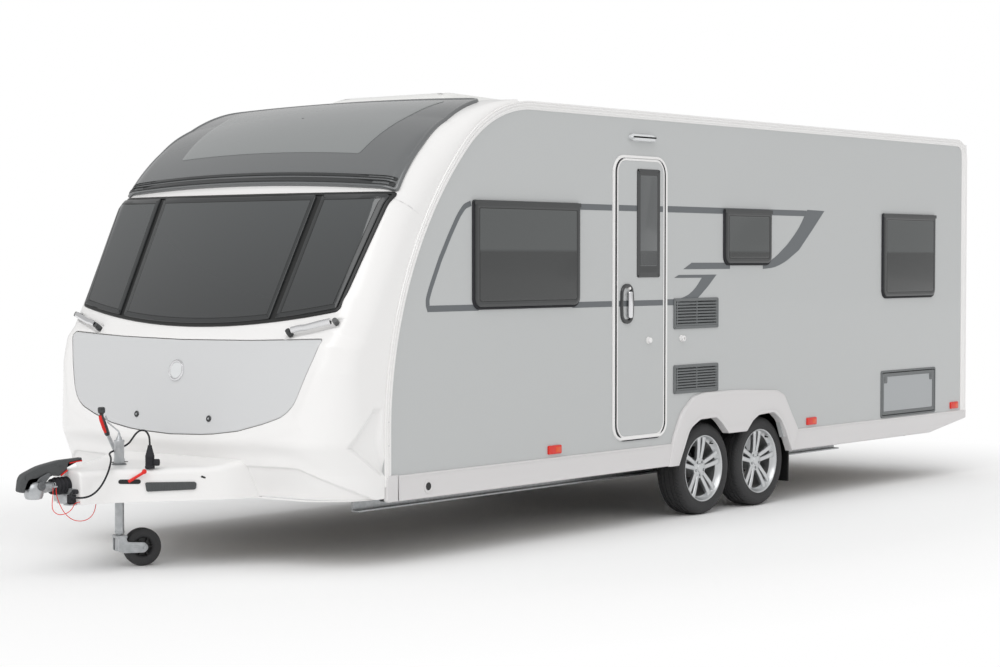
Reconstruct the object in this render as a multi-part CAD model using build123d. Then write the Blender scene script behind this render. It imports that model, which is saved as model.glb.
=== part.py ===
from build123d import *
import math
import os

# A twin-axle travel caravan, in millimetres. It is towed towards -Y, the entrance door is on +X,
# +Z is up, and the origin is on the ground under the middle of its length.

# ---- driving dimensions --------------------------------------------------------------------
BODY_WIDTH = 2240.0
WALL = 30.0
HALF = BODY_WIDTH / 2
INNER = HALF - WALL
WALL_FOOT = 436.0
FLOOR_TOP = 476.0
ROOF_TOP = 2505.0
REAR_FACE = 3995.0
SPLIT_Z = 1203.0
GAP = 5.0

# Side wall outline: upright, a large arc leaning back, a smaller arc into the roof line.
NOSE_Y = -2517.0
NOSE_UPRIGHT_TOP = 700.0
NOSE_ARC_RADIUS = 2200.0
NOSE_TURN = 45.0
REAR_TOP_RADIUS = 150.0
RAIL_WIDTH = 50.0
RAIL_PROUD = 10.0
REAR_STRIP = 78.0

# Front moulding, as an upright section through the middle: y, z, corner radius.
FRONT_SECTION = (
    (-2895.0, 365.0, 40.0),
    (-2975.0, 620.0, 200.0),
    (-2918.0, 1061.0, 1300.0),
    (-2150.0, 2505.0, 1042.0),
)
FRONT_BACK_Y = -1200.0
FRONT_CORNER_RADIUS = 190.0
# The section's first and last runs carried further, so the corner rounding ends outside the form.
FRONT_CORNER_FOOT = (-2815.0, 110.0, 40.0)
FRONT_CORNER_TOP = (-2054.0, 2685.5, 560.0)
FRONT_JOIN_Y = -1400.0

# Wheels: 185 mm wide tyres on 15 inch rims.
WHEEL_YS = {"front": 542.0, "rear": 1196.0}
TYRE_RADIUS = 292.5
TYRE_WIDTH = 185.0
TYRE_MID_X = 987.5
RIM_RADIUS = 206.0
RIM_WALL = 14.0
RIM_WIDTH = 166.0
HUB_RADIUS = 62.0
HUB_BORE_RADIUS = 28.05
STUB_RADIUS = 28.0
SPOKES = 10

# Entrance door and its hinge line.
DOOR_Y = (-475.0, 27.0)
DOOR_Z = (540.0, 2219.0)
DOOR_FRAME_Y = (-509.0, 52.0)
DOOR_FRAME_Z = (532.0, 2236.0)
DOOR_WINDOW_Y = (-269.0, -32.0)
DOOR_WINDOW_Z = (1505.0, 2157.0)
DOOR_HANDLE_Y = (-434.0, -304.0)
DOOR_HANDLE_Z = (1230.0, 1468.0)
RETAINER_Y = (-149.0, 215.0)
RETAINER_Z = 1125.0
RETAINER_RADIUS = 17.0
RETAINER_PROUD = 20.0
DOOR_CORNERS = {"frame": 40.0, "opening": 24.0, "leaf": 22.0, "pane": 14.0}
DOOR_FRAME_PROUD = 12.0
DOOR_LEAF_PROUD = 8.0
DOOR_PANE_PROUD = 12.0
DOOR_LEAF_SINK = 2.0
# The door handle: cup behind the leaf's face, collar round it and a bridge-shaped grip.
HANDLE_RIM = 10.0
HANDLE_CUP_Z = (1250.0, 1448.0)
HANDLE_CUP_X = (HALF - 16.0, HALF - 10.0)
HANDLE_CORNERS = {"rim": 60.0, "cup": 50.0, "collar": 44.0}
HANDLE_COLLAR = (-369.0, 1349.0, 96.0, 184.0)
HANDLE_COLLAR_X = (HALF - 12.0, HALF + 12.0)
HANDLE_RIM_PROUD = 20.0
GRIP_Y = (-386.0, -352.0)
GRIP_Z = (1262.0, 1436.0)
GRIP_X = (HALF - 10.0, HALF + 30.0)
GRIP_HOLE_Z = (1290.0, 1408.0)
GRIP_BAR_X = HALF + 14.0

# Windows on each side: y low, y high, z low, z high.
LEFT_WINDOWS = (
    (-1806.0, -835.0, 1338.0, 1940.0),
    (679.0, 1246.0, 1575.0, 1935.0),
    (2711.0, 3497.0, 1336.0, 1938.0),
)
RIGHT_WINDOWS = (
    (-1806.0, -835.0, 1338.0, 1940.0),
    (-250.0, 650.0, 1575.0, 1935.0),
    (2711.0, 3497.0, 1336.0, 1938.0),
)
REAR_WINDOW = (-430.0, 430.0, 1420.0, 1938.0)
WINDOW_LIP = 18.0
WINDOW_PROUD = 20.0
WINDOW_CORNER = 45.0
PANE_SINK = 6.0

# Spans that cut or fill the front moulding, and the wall and shelf behind the gas locker.
FRONT_SPAN = (-3200.0, -2200.0)
PANE_GAP = 0.5
FRONT_DEPTH = (-3300.0, FRONT_JOIN_Y)
BROW_SPAN = (1970.0, ROOF_TOP + 50.0)
BULKHEAD_Y = (-2440.0, -2415.0)
LOCKER_FRONT_Y = -2930.0
SHELF_Y = -2900.0
SHELF_Z = (SPLIT_Z + 2.0, SPLIT_Z + 14.0)
SHELL_FOOT = 436.0

# Locker doors low in the walls: y low, y high, z low, z high.
SERVICE_DOOR = (2710.0, 3518.0, 488.0, 823.0)
CASSETTE_DOOR = (1830.0, 2240.0, 560.0, 990.0)
LOCKER_FRAME = 14.0
LOCKER_CORNERS = {"frame": 20.0, "opening": 14.0, "leaf": 12.0}
LOCKER_FRAME_PROUD = 8.0
LOCKER_LEAF_PROUD = 6.0

# Fridge vents, y low, y high, z low, z high.
VENTS = ((134.0, 615.0, 1190.0, 1368.0), (134.0, 615.0, 790.0, 955.0))
VENT_CORNER = 12.0
VENT_LAP = 6.0
VENT_PROUD = 9.0
VENT_SLOTS = 7
VENT_SLOT_SHARE = 0.45
VENT_EDGE = 10.0
VENT_SLOT_ENDS = (14.0, 236.0, 252.0)
VENT_SLOT_X = (HALF - 6.0, HALF + 10.0)

# Wheel housings, skirts and spats; outlines are y, z and, where rounded, a corner radius.
WHEEL_BOX_X = 800.0
WHEEL_BOX_Y = (185.0, 1553.0)
WHEEL_BOX_TOP = 700.0
WHEEL_BOX_WALL = 8.0
MUD_FLAP = ((890.0, 1085.0), (1530.0, 1542.0), (134.0, 496.0))
WHEEL_ARCH = ((172.0, 300.0, 1.0), (345.0, 622.0, 60.0), (1325.0, 622.0, 60.0), (1484.0, 300.0, 1.0))
RAIL_FOOT = 484.0
SKIRT = ((-2511.0, 343.0), (64.0, 343.0), (118.0, 480.0), (-2511.0, 480.0))
REAR_SKIRT = (
    (1583.0, 343.0),
    (3427.0, 343.0),
    (REAR_FACE, 421.0),
    (REAR_FACE, 480.0),
    (1583.0, 480.0),
)
SKIRT_PROUD = 14.0
SPAT_PROUD = 24.0
SPAT_OUTER = (
    (66.0, 341.0, 1.0),
    (118.0, 515.0, 60.0),
    (196.0, 641.0, 150.0),
    (334.0, 766.0, 90.0),
    (890.0, 778.0, 2000.0),
    (1365.0, 745.0, 60.0),
    (1580.0, 480.0, 10.0),
    (1491.0, 341.0, 1.0),
)
SPAT_INNER = (
    (170.0, 330.0, 1.0),
    (300.0, 570.0, 60.0),
    (450.0, 622.0, 120.0),
    (600.0, 612.0, 80.0),
    (735.0, 505.0, 40.0),
    (930.0, 505.0, 40.0),
    (1030.0, 590.0, 80.0),
    (1280.0, 618.0, 60.0),
    (1414.0, 474.0, 100.0),
    (1489.0, 330.0, 1.0),
)
JACK_HOLE = (-2181.0, 390.0, 36.0)

# Roof fittings: the pod's section in y, z and corner radius, and the round vent as x, y, radius.
POD = (
    (-1300.0, ROOF_TOP, 1.0),
    (-1255.0, 2578.0, 30.0),
    (-1180.0, 2596.0, 60.0),
    (-700.0, 2580.0, 30.0),
    (-620.0, ROOF_TOP, 1.0),
)
POD_HALF = 480.0
ROOF_VENT = (480.0, 980.0, 70.0)
ROOF_VENT_HEIGHT = 42.0

# Front grab handles: bar ends and feet as x, y, z.
GRAB_BAR = ((748.0, -2872.0, 1226.0), (1010.0, -2838.0, 1288.0))
GRAB_BAR_RADIUS = 14.0
GRAB_FEET = ((770.0, -2870.0, 1231.0), (985.0, -2842.0, 1282.0))
GRAB_FOOT_RADIUS = 11.0
GRAB_FOOT_DEPTH = 80.0

# Lamps and the lower rear panel.
AWNING_LAMP = ((-369.0, -65.0), (2320.0, 2366.0))
AWNING_LAMP_CORNER = 20.0
AWNING_LAMP_PROUD = 34.0
MARKER_YS = (-1072.0, 1763.0, 3814.0)
MARKER_HALF = 61.0
MARKER_Z = (499.0, 549.0)
MARKER_CORNER = 8.0
MARKER_PROUD = 12.0
REAR_LAMP = ((820.0, 1030.0), (660.0, 1000.0))
BUMPER_Z = (421.0, 620.0)
REAR_CORNER = 40.0
REAR_PROUD = 25.0
REAR_WINDOW_PROUD = 18.0

# Running gear.
RAIL_MID_X = 650.0
CHASSIS_FOOT = 236.0
CHANNEL_HALF = 25.0
CHANNEL_WEB = 8.0
CHANNEL_Y = (-2240.0, 2900.0)
TAIL_Y = (2900.0, 3930.0)
TAIL_FOOT = 336.0
CROSS_MEMBERS = ((-2200.0, 336.0), (-700.0, 276.0), (1900.0, 276.0), (3900.0, 346.0))
CROSS_HALF = 20.0
AXLE_RADIUS = 45.0
AXLE_SEAT_GAP = 0.2
AXLE_Z = 330.0
AXLE_LEAD = 150.0
AXLE_END_X = 790.0
SWING_RADIUS = 30.0
SWING_X = (785.0, 812.0)
ARM_X = (810.0, 850.0)
ARM_ENDS = (50.0, 40.0)
ARM_HEIGHTS = ((55.0, 50.0), (45.0, 45.0))
ARM_CORNER = 30.0
DRUM_RADIUS = 130.0
DRUM_X = (850.0, 900.0)
STUB_X = (900.0, 985.0)

# Tyre section: radius, reach from the tyre's middle, corner radius.
TYRE_HALF = TYRE_WIDTH / 2
TYRE_SECTION = (
    (RIM_RADIUS + 0.5, -TYRE_HALF + 14.0, 2.0),
    (RIM_RADIUS + 0.5, TYRE_HALF - 14.0, 2.0),
    (238.0, TYRE_HALF, 30.0),
    (272.0, TYRE_HALF - 4.0, 40.0),
    (TYRE_RADIUS, TYRE_HALF - 22.0, 16.0),
    (TYRE_RADIUS, -TYRE_HALF + 22.0, 16.0),
    (272.0, -TYRE_HALF + 4.0, 40.0),
    (238.0, -TYRE_HALF, 30.0),
)
SPOKE_WIDTH = 26.0
SPOKE_LEAN = 9.0
SPOKE_START = 54.0
SPOKE_DISC = (46.0, 72.0)
DISC_INSET = 6.0
HUB_BACK = -80.0

# Hitch.
JOCKEY_Y = -3352.0
JOCKEY_TUBE_RADIUS = 24.0
JOCKEY_LEG_TOP = 500.0
JOCKEY_SLEEVE_RADIUS = 27.5
JOCKEY_WHEEL_RADIUS = 100.0
JOCKEY_TRAIL = 123.0
JOCKEY_YAW = -21.4
COUPLING_Z = 460.0
COUPLING_FACE_Y = -3725.0
BALL_SOCKET_RADIUS = 25.2
COVER_TOP = 535.0
PLUG_SPOT = (250.0, -3362.0)

# Cables, as the corners of their routes: x, y, z.
CONNECTING_CABLE_DIAMETER = 10.0
CONNECTING_CABLE = (
    (88.0, -3705.6, 432.0),
    (88.0, -3750.0, 432.0),
    (118.0, -3782.0, 420.0),
    (164.0, -3786.0, 412.0),
    (202.0, -3754.0, 412.0),
    (206.0, -3704.0, 424.0),
    (202.0, -3650.0, 458.0),
    (188.0, -3598.0, 510.0),
    (158.0, -3550.0, 556.0),
    (108.0, -3500.0, 582.0),
    (48.0, -3452.0, 592.0),
    (-12.0, -3410.0, 598.0),
    (-50.0, -3364.0, 604.0),
    (-46.0, -3308.0, 618.0),
    (-8.0, -3280.0, 642.0),
    (40.0, -3294.0, 676.0),
    (90.0, -3314.0, 706.0),
    (142.0, -3334.0, 724.0),
    (180.0, -3346.0, 728.0),
    (209.0, -3353.0, 727.0),
    (235.0, -3359.0, 712.0),
    (250.0, -3362.0, 686.0),
    (250.0, -3362.0, 656.0),
)
BREAKAWAY_DIAMETER = 4.0
BREAKAWAY_CABLE = (
    (112.0, -3606.0, 365.0),
    (114.0, -3612.0, 330.0),
    (120.0, -3650.0, 294.0),
    (122.0, -3706.0, 282.0),
    (114.0, -3764.0, 294.0),
    (98.0, -3804.0, 334.0),
    (80.0, -3820.0, 384.0),
    (68.0, -3828.0, 426.0),
    (68.0, -3828.0, 462.0),
)
BREAKAWAY_TAIL = (
    (56.0, -3838.0, 462.0),
    (56.0, -3838.0, 424.0),
    (62.0, -3850.0, 382.0),
    (74.0, -3856.0, 346.0),
    (92.0, -3834.0, 324.0),
    (108.0, -3796.0, 328.0),
    (112.0, -3760.0, 350.0),
    (104.0, -3738.0, 380.0),
    (104.0, -3705.3, 380.0),
)
BREAKAWAY_CLIP = ((50.0, 74.0), (-3844.0, -3822.0), (462.0, 488.0))
PLUG_BODY = (25.0, 65.0)
PLUG_BOOT = (24.0, 9.0, 56.0)
PLUG_LID = ((16.0, 12.0), (40.0, 30.0), 566.0)
PLUG_LID_RADIUS = 18.0

# Drawbar: one beam from above, the cover's plan with corner radii.
BEAM = (
    (16.0, -3690.0),
    (76.0, -3690.0),
    (RAIL_MID_X + 25.0, -2360.0),
    (RAIL_MID_X + 25.0, -2250.0),
    (RAIL_MID_X - 35.0, -2250.0),
)
BEAM_Z = (376.0, 436.0)
BEAM_NOSE = ((-76.0, 76.0), (COUPLING_FACE_Y, -3690.0), (376.0, 446.0))
COVER_PLAN = (
    (118.0, -3705.0, 25.0),
    (150.0, -3560.0, 200.0),
    (500.0, -3050.0, 300.0),
    (560.0, -2860.0, 20.0),
)
COVER_WALL = 10.0

# Coupling head, its handle in y, z and corner radius, and the bellows.
BALL_Y = -3915.0
BALL_Z = COUPLING_Z - 8.0
HEAD_RADIUS = 50.0
HEAD_CUT = 60.0
HEAD_Z = (BALL_Z - 42.0, BALL_Z + 46.0)
NECK_RADIUS = 25.0
SOCKET_TOP = BALL_Z + 4.0
HANDLE = (
    (-4024.0, 452.0, 14.0),
    (-4010.0, 532.0, 50.0),
    (-3890.0, 572.0, 200.0),
    (-3762.0, 592.0, 200.0),
    (-3614.0, 597.0, 5.0),
    (-3612.0, 577.0, 5.0),
    (-3706.0, 570.0, 10.0),
    (-3714.0, 537.0, 10.0),
    (-3762.0, 511.0, 20.0),
    (-3860.0, 522.0, 60.0),
    (-3962.0, 498.0, 40.0),
    (-3985.0, 440.0, 14.0),
)
HANDLE_HALF = 24.0
BELLOWS_RADIUS = 46.0
BELLOWS_LENGTH = 80.0

# Jockey wheel's clamp and the two hand levers, as rods from point to point with a radius.
SLEEVE_Z = (410.0, 668.0)
SLEEVE_BORE_TOP = 656.0
CLAMP_X = (-58.0, 58.0)
CLAMP_HALF_Y = 36.0
CLAMP_Z = (446.0, 500.0)
RUNNING_GAP = 0.05
HANDBRAKE_X = -110.0
HANDBRAKE_FOOT = ((-116.0, -104.0), (-3280.0, -3230.0), (535.0, 567.0))
HANDBRAKE_RODS = (
    ((-3254.0, 552.0), (-3338.0, 696.0), 9.0),
    ((-3338.0, 694.0), (-3378.0, 784.0), 15.0),
    ((-3376.0, 780.0), (-3376.0, 838.0), 18.0),
)
CLAMP_ARM = ((206.0, -3468.0, 472.0), (268.0, -3420.0, 520.0), 7.0)
CLAMP_BALL = (270.0, -3418.0, 524.0, 13.0)

# Jockey leg and fork; the cheek is trail, z and corner radius.
LEG_FOOT = 176.0
SPINDLE_RADIUS = 12.0
SPINDLE_Z = (160.0, 240.0)
SPINDLE_HOLE_TOP = 246.0
CROWN = ((-44.0, 44.0), (-28.0, 34.0), (150.0, 170.0))
CHEEK_X = (38.0, 44.0)
CHEEK = (
    (-28.0, 170.0, 2.0),
    (34.0, 170.0, 20.0),
    (143.0, 122.0, 16.0),
    (143.0, 80.0, 16.0),
    (103.0, 80.0, 16.0),
    (-28.0, 120.0, 10.0),
)
JOCKEY_AXLE_RADIUS = 8.0
JOCKEY_WHEEL_HALF = 32.0

STEADY_FRONT_Y = -1700.0
STEADY_REAR_Y = 3250.0
STEADY_X = 755.0
STEADY_REACH = 430.0
STEADY_PIVOT_Z = 345.0
STEADY_PIN_RADIUS = 8.0
EAR_OUTER = 34.0
EAR_INNER = 26.0
EAR_HALF_Y = 30.0
EAR_DROP = 22.0
EAR_ROOF = 14.0
STEADY_ARM_HALF = (20.0, 18.0)
STEADY_EYE_RADIUS = 20.0
STEADY_FOOT = (96.0, 110.0, 8.0)
STEADY_FOOT_DROP = 14.0
STEADY_FOOT_TILT = 50.0


# ---- helpers -------------------------------------------------------------------------------
def block(x, y, z):
    """A box between low and high values along each axis."""
    centre = [(low + high) / 2 for low, high in (x, y, z)]
    return Pos(*centre) * Box(x[1] - x[0], y[1] - y[0], z[1] - z[0])


def outline(points, radii=None):
    """A flat face from corner points, each rounded by its own radius."""
    if radii is None:
        return make_face(Polyline(*points, close=True).edges())
    return make_face(FilletPolyline(*points, radius=radii, close=True).edges())


def soft_outline(points):
    """A flat face from corner points that each carry their own radius."""
    return outline([point[:2] for point in points], [point[2] for point in points])


def rounded(y, z, radius):
    """A flat rounded rectangle between low and high values."""
    size = (y[1] - y[0], z[1] - z[0])
    return Pos(sum(y) / 2, sum(z) / 2) * RectangleRounded(*size, radius)


def across(face, x):
    """A face drawn in y and z, made solid between two x values."""
    return extrude(Plane.YZ.offset(x[0]) * face, x[1] - x[0])


def along(face, y):
    """A face drawn in x and z, made solid between two y values."""
    plane = Plane(origin=(0, y[1], 0), x_dir=(1, 0, 0), z_dir=(0, -1, 0))
    return extrude(plane * face, y[1] - y[0])


def upright(face, z):
    """A face drawn in x and y, made solid between two z values."""
    return extrude(Plane.XY.offset(z[0]) * face, z[1] - z[0])


def rod(start, end, radius):
    """A round bar between two points."""
    start, end = Vector(*start), Vector(*end)
    plane = Plane(origin=start, z_dir=end - start)
    return extrude(plane * Circle(radius), (end - start).length)


def upright_rod(spot, radius, z):
    """A round bar standing at x and y, between two z values."""
    return upright(Pos(*spot) * Circle(radius), z)


def ring_x(centre, outer, inner, x):
    """A ring about a line along x, between two x values."""
    face = Circle(outer) - Circle(inner) if inner else Circle(outer)
    return across(Pos(centre[0], centre[1]) * face, x)


def cord_radii(points):
    """The bend radius at each corner of a cord's route."""
    radii = []
    for before, here, after in zip(points, points[1:], points[2:]):
        come, go = Vector(*here) - Vector(*before), Vector(*after) - Vector(*here)
        turn = math.radians(come.get_angle(go))
        radii.append(0.45 * min(come.length, go.length) / math.tan(turn / 2))
    return radii


def cord(name, points, diameter):
    """A round cord along straight runs joined by tangent arcs; prints its radii and volume."""
    radii = cord_radii(points)
    path = FilletPolyline(*points, radius=radii)
    start = Plane(origin=points[0], z_dir=Vector(*points[1]) - Vector(*points[0]))
    tube = sweep(start * Circle(diameter / 2), path=path)
    expected = math.pi * (diameter / 2) ** 2 * path.length
    print(name, "radii", [round(r) for r in radii], "length", round(path.length))
    print(name, "volume ratio", round(tube.volume / expected, 4))
    save(name, tube)


def ring_y(centre, outer, inner, y):
    """A ring about a line along y, between two y values."""
    return along(Pos(*centre) * (Circle(outer) - Circle(inner)), y)


def both_sides(shape):
    """The shape and its mirror image across the middle of the caravan."""
    return [shape, mirror(shape, about=Plane.YZ)]


def save(name, *shapes):
    """Write the solids of a node to its STEP file."""
    solids = [solid for shape in shapes for solid in shape.solids()]
    export_step(Compound(solids), f"parts/{name}.step")


# ---- body outline --------------------------------------------------------------------------
def wall_outline(foot=WALL_FOOT):
    """The side wall's outline in y and z, down to the given height."""
    turn = math.radians(NOSE_TURN)
    nose_centre = (NOSE_Y + NOSE_ARC_RADIUS, NOSE_UPRIGHT_TOP)

    def on_nose(angle):
        reach = NOSE_ARC_RADIUS
        return (nose_centre[0] - reach * math.cos(angle), nose_centre[1] + reach * math.sin(angle))

    lean = on_nose(turn)
    brow_radius = (ROOF_TOP - lean[1]) / (1 - math.sin(turn))
    brow_centre = (lean[0] + brow_radius * math.cos(turn), ROOF_TOP - brow_radius)

    def on_brow(angle):
        return (
            brow_centre[0] - brow_radius * math.cos(angle),
            brow_centre[1] + brow_radius * math.sin(angle),
        )

    corner_y = REAR_FACE - REAR_TOP_RADIUS
    corner_z = ROOF_TOP - REAR_TOP_RADIUS
    slant = REAR_TOP_RADIUS * math.sqrt(0.5)
    foot_front = (NOSE_Y, foot)
    upright_top = (NOSE_Y, NOSE_UPRIGHT_TOP)
    brow_end = (brow_centre[0], ROOF_TOP)
    corner_start = (corner_y, ROOF_TOP)
    corner_end = (REAR_FACE, corner_z)
    foot_rear = (REAR_FACE, foot)
    return make_face(
        [
            Line(foot_front, upright_top),
            ThreePointArc(upright_top, on_nose(turn / 2), lean),
            ThreePointArc(lean, on_brow((turn + math.pi / 2) / 2), brow_end),
            Line(brow_end, corner_start),
            ThreePointArc(corner_start, (corner_y + slant, corner_z + slant), corner_end),
            Line(corner_end, foot_rear),
            Line(foot_rear, foot_front),
        ]
    )


def section_face(section, inset):
    """The front's upright section closed at the back, drawn smaller by inset."""
    foot, top = section[0][1], section[-1][1]
    points = [(FRONT_BACK_Y, foot)] + [(y, z) for y, z, _ in section] + [(FRONT_BACK_Y, top)]
    line = FilletPolyline(*points, radius=[radius for _, _, radius in section])
    face = make_face([*line.edges(), Line(points[-1], points[0])])
    return offset(face, amount=-inset, kind=Kind.INTERSECTION) if inset else face


def front_form(inset=0.0):
    """The front end as a closed form whose rounded side corners fade out towards the roof."""
    half = HALF - inset
    middle = across(section_face(FRONT_SECTION, inset), (-half, half))
    taller = (FRONT_CORNER_FOOT,) + FRONT_SECTION[1:-1] + (FRONT_CORNER_TOP,)
    form = across(section_face(taller, inset), (-half, half))
    corners = [edge for edge in form.edges() if is_front_corner(edge, half, inset)]
    return middle & fillet(corners, FRONT_CORNER_RADIUS - inset)


def is_front_corner(edge, half, inset):
    """Whether an edge of the taller form lies on one of its two upright side corners."""
    box = edge.bounding_box()
    on_side = box.size.X < 1.0 and abs(abs(edge.center().X) - half) < 1.0
    off_back = edge.center().Y < FRONT_BACK_Y - inset - 1.0
    off_top = box.min.Z < FRONT_CORNER_TOP[1] - inset - 1.0
    off_foot = box.max.Z > FRONT_CORNER_FOOT[1] + inset + 1.0
    return on_side and off_back and off_top and off_foot


FRONT_OUTER = front_form()
FRONT_INNER = front_form(WALL)


def front_shell():
    """The front moulding's wall, open at the back and trimmed to the side walls."""
    shell = FRONT_OUTER - FRONT_INNER
    behind = wall_outline(foot=0.0)
    shell -= across(behind, (INNER, HALF + 1.0))
    shell -= across(behind, (-HALF - 1.0, -INNER))
    shell -= block((-INNER, INNER), (NOSE_Y, 0.0), (0.0, SHELL_FOOT))
    shell -= block((-HALF - 1.0, HALF + 1.0), (FRONT_JOIN_Y, 0.0), (0.0, ROOF_TOP + 1.0))
    return shell


# ---- front openings ------------------------------------------------------------------------
def lid_face(gap=0.0):
    """The gas locker lid's outline in x and z: straight on top, a deep U below."""
    points = [
        (-985.0 + gap, SPLIT_Z - gap),
        (-985.0 + gap, 1090.0),
        (-955.0 + gap, 905.0),
        (-720.0 + gap, 712.0 + gap),
        (0.0, 655.0 + gap),
        (720.0 - gap, 712.0 + gap),
        (955.0 - gap, 905.0),
        (985.0 - gap, 1090.0),
        (985.0 - gap, SPLIT_Z - gap),
    ]
    line = FilletPolyline(*points, radius=[300.0, 160.0, 420.0, 3000.0, 420.0, 160.0, 300.0])
    return make_face([*line.edges(), Line(points[-1], points[0])])


def front_window_faces(gap=0.0):
    """The three front window panes, drawn in x and z."""
    middle = [
        (-590.0 + gap, 1283.0 + gap),
        (0.0, 1236.0 + gap),
        (590.0 - gap, 1283.0 + gap),
        (620.0 - gap, 1958.0 - gap),
        (-620.0 + gap, 1958.0 - gap),
    ]
    right = [
        (592.0 + gap, 1283.5 + gap),
        (985.0 - gap, 1350.0 + gap),
        (1052.0 - gap, 1958.0 - gap),
        (622.0 + gap, 1958.0 - gap),
    ]
    middle_face = outline(middle, [8.0, 2500.0, 8.0, 8.0, 8.0])
    right_face = outline(right, [8.0, 70.0, 50.0, 8.0])
    return [middle_face, right_face, mirror(right_face, about=Plane.YZ)]


def front_window_hole():
    """The one opening that holds the three front panes."""
    points = [
        (-985.0, 1350.0),
        (-592.0, 1283.5),
        (0.0, 1236.0),
        (592.0, 1283.5),
        (985.0, 1350.0),
        (1052.0, 1958.0),
        (-1052.0, 1958.0),
    ]
    return outline(points, [70.0, 500.0, 2500.0, 500.0, 70.0, 50.0, 50.0])


def roof_window_face(gap=0.0):
    """The wide window in the brow, drawn from above in x and y."""
    points = [
        (-1048.0 + gap, -2395.0 + gap),
        (1048.0 - gap, -2395.0 + gap),
        (985.0 - gap, -1560.0 - gap),
        (-985.0 + gap, -1560.0 - gap),
    ]
    return outline(points, [60.0, 60.0, 90.0, 90.0])


# ---- hitch forms ---------------------------------------------------------------------------
def drawbar_beams():
    """The two box beams of the A-frame, meeting behind the coupling."""
    return both_sides(upright(outline(BEAM), BEAM_Z)) + [block(*BEAM_NOSE)]


def drawbar_cover_form(inset=0.0):
    """The moulded cover over the A-frame, from the coupling back into the bumper."""
    right = [(x - inset, y, radius) for x, y, radius in COVER_PLAN]
    right[0] = (right[0][0], right[0][1] + inset, right[0][2])
    right[-1] = (COVER_PLAN[-1][0] - inset, COVER_PLAN[-1][1], COVER_PLAN[-1][2])
    left = [(-x, y, radius) for x, y, radius in right]
    foot = FRONT_SECTION[0][1] - (1.0 if inset else 0.0)
    return upright(soft_outline([left[0]] + right + left[:0:-1]), (foot, COVER_TOP - inset))


# ---- body shell ----------------------------------------------------------------------------
def make_front():
    """Front mouldings, lid, windows and the wall behind the gas locker."""
    shell = front_shell()
    lower = shell & block((-HALF, HALF), FRONT_DEPTH, (0.0, SPLIT_Z))
    lower -= along(lid_face(), FRONT_SPAN)
    lower -= drawbar_cover_form()
    for beam in drawbar_beams():
        lower -= beam
    upper = shell & block((-HALF, HALF), FRONT_DEPTH, (SPLIT_Z, ROOF_TOP))
    upper -= along(front_window_hole(), FRONT_SPAN)
    upper -= upright(roof_window_face(), BROW_SPAN)
    save("front_panel_lower", lower)
    save("front_panel_upper", upper)
    save("front_windows", *[shell & along(face, FRONT_SPAN) for face in front_window_faces(PANE_GAP)])
    save("front_roof_window", shell & upright(roof_window_face(), BROW_SPAN))
    save("locker_lid", shell & along(lid_face(GAP), FRONT_SPAN))
    bulkhead = block((-INNER, INNER), BULKHEAD_Y, (FLOOR_TOP, SPLIT_Z))
    shelf = block((-INNER, INNER), (SHELF_Y, BULKHEAD_Y[0]), SHELF_Z)
    save("front_bulkhead", (bulkhead + shelf) & FRONT_INNER)


def window_plug(window):
    """The part of a window that fills its hole through the wall."""
    y = (window[0] + WINDOW_LIP, window[1] - WINDOW_LIP)
    z = (window[2] + WINDOW_LIP, window[3] - WINDOW_LIP)
    return rounded(y, z, WINDOW_CORNER - WINDOW_LIP)


def make_window(window):
    """A window unit: a plug through the wall and a frame lapping over its face."""
    plug = across(window_plug(window), (INNER - PANE_SINK, HALF))
    frame = across(rounded(window[:2], window[2:], WINDOW_CORNER), (HALF, HALF + WINDOW_PROUD))
    return plug + frame


def make_side_walls():
    """Both side walls with their door, window, vent, hatch and wheel openings."""
    through = (INNER - 1.0, HALF + 1.0)
    plate = across(wall_outline(), (INNER, HALF)) - across(soft_outline(WHEEL_ARCH), through)
    left = plate
    for window in LEFT_WINDOWS:
        left -= across(window_plug(window), through)
    for vent in VENTS:
        left -= across(rounded(vent[:2], vent[2:], VENT_CORNER), through)
    left -= across(rounded(DOOR_FRAME_Y, DOOR_FRAME_Z, DOOR_CORNERS["frame"]), through)
    left -= across(rounded(SERVICE_DOOR[:2], SERVICE_DOOR[2:], LOCKER_CORNERS["frame"]), through)
    right = plate
    for window in RIGHT_WINDOWS:
        right -= across(window_plug(window), through)
    right -= across(rounded(CASSETTE_DOOR[:2], CASSETTE_DOOR[2:], LOCKER_CORNERS["frame"]), through)
    save("side_wall_left", left)
    save("side_wall_right", mirror(right, about=Plane.YZ))
    save("side_windows_left", *[make_window(window) for window in LEFT_WINDOWS])
    right_windows = [mirror(make_window(window), about=Plane.YZ) for window in RIGHT_WINDOWS]
    save("side_windows_right", *right_windows)


def make_roof_and_rear():
    """Roof, rear wall with its window, and the moulded lower rear panel."""
    whole = across(wall_outline(), (-INNER, INNER))
    core_face = offset(wall_outline(foot=-2 * BODY_WIDTH), amount=-WALL)
    band = whole - across(core_face, (-INNER, INNER))
    bend_z = ROOF_TOP - REAR_TOP_RADIUS
    roof = band & block((-INNER, INNER), (FRONT_JOIN_Y, REAR_FACE), (bend_z, ROOF_TOP))
    rear = band & block((-INNER, INNER), (WHEEL_BOX_Y[1], REAR_FACE), (WALL_FOOT, bend_z))
    hole = window_plug(REAR_WINDOW)
    rear -= along(hole, (REAR_FACE - 2 * WALL, REAR_FACE + WALL))
    save("roof", roof)
    save("rear_wall", rear)
    frame = rounded(REAR_WINDOW[:2], REAR_WINDOW[2:], WINDOW_CORNER)
    plug = along(hole, (REAR_FACE - WALL - PANE_SINK, REAR_FACE))
    save("rear_window", plug + along(frame, (REAR_FACE, REAR_FACE + REAR_WINDOW_PROUD)))
    bumper = along(rounded((-HALF, HALF), BUMPER_Z, REAR_CORNER), (REAR_FACE, REAR_FACE + REAR_PROUD))
    save("rear_bumper", bumper)


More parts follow.
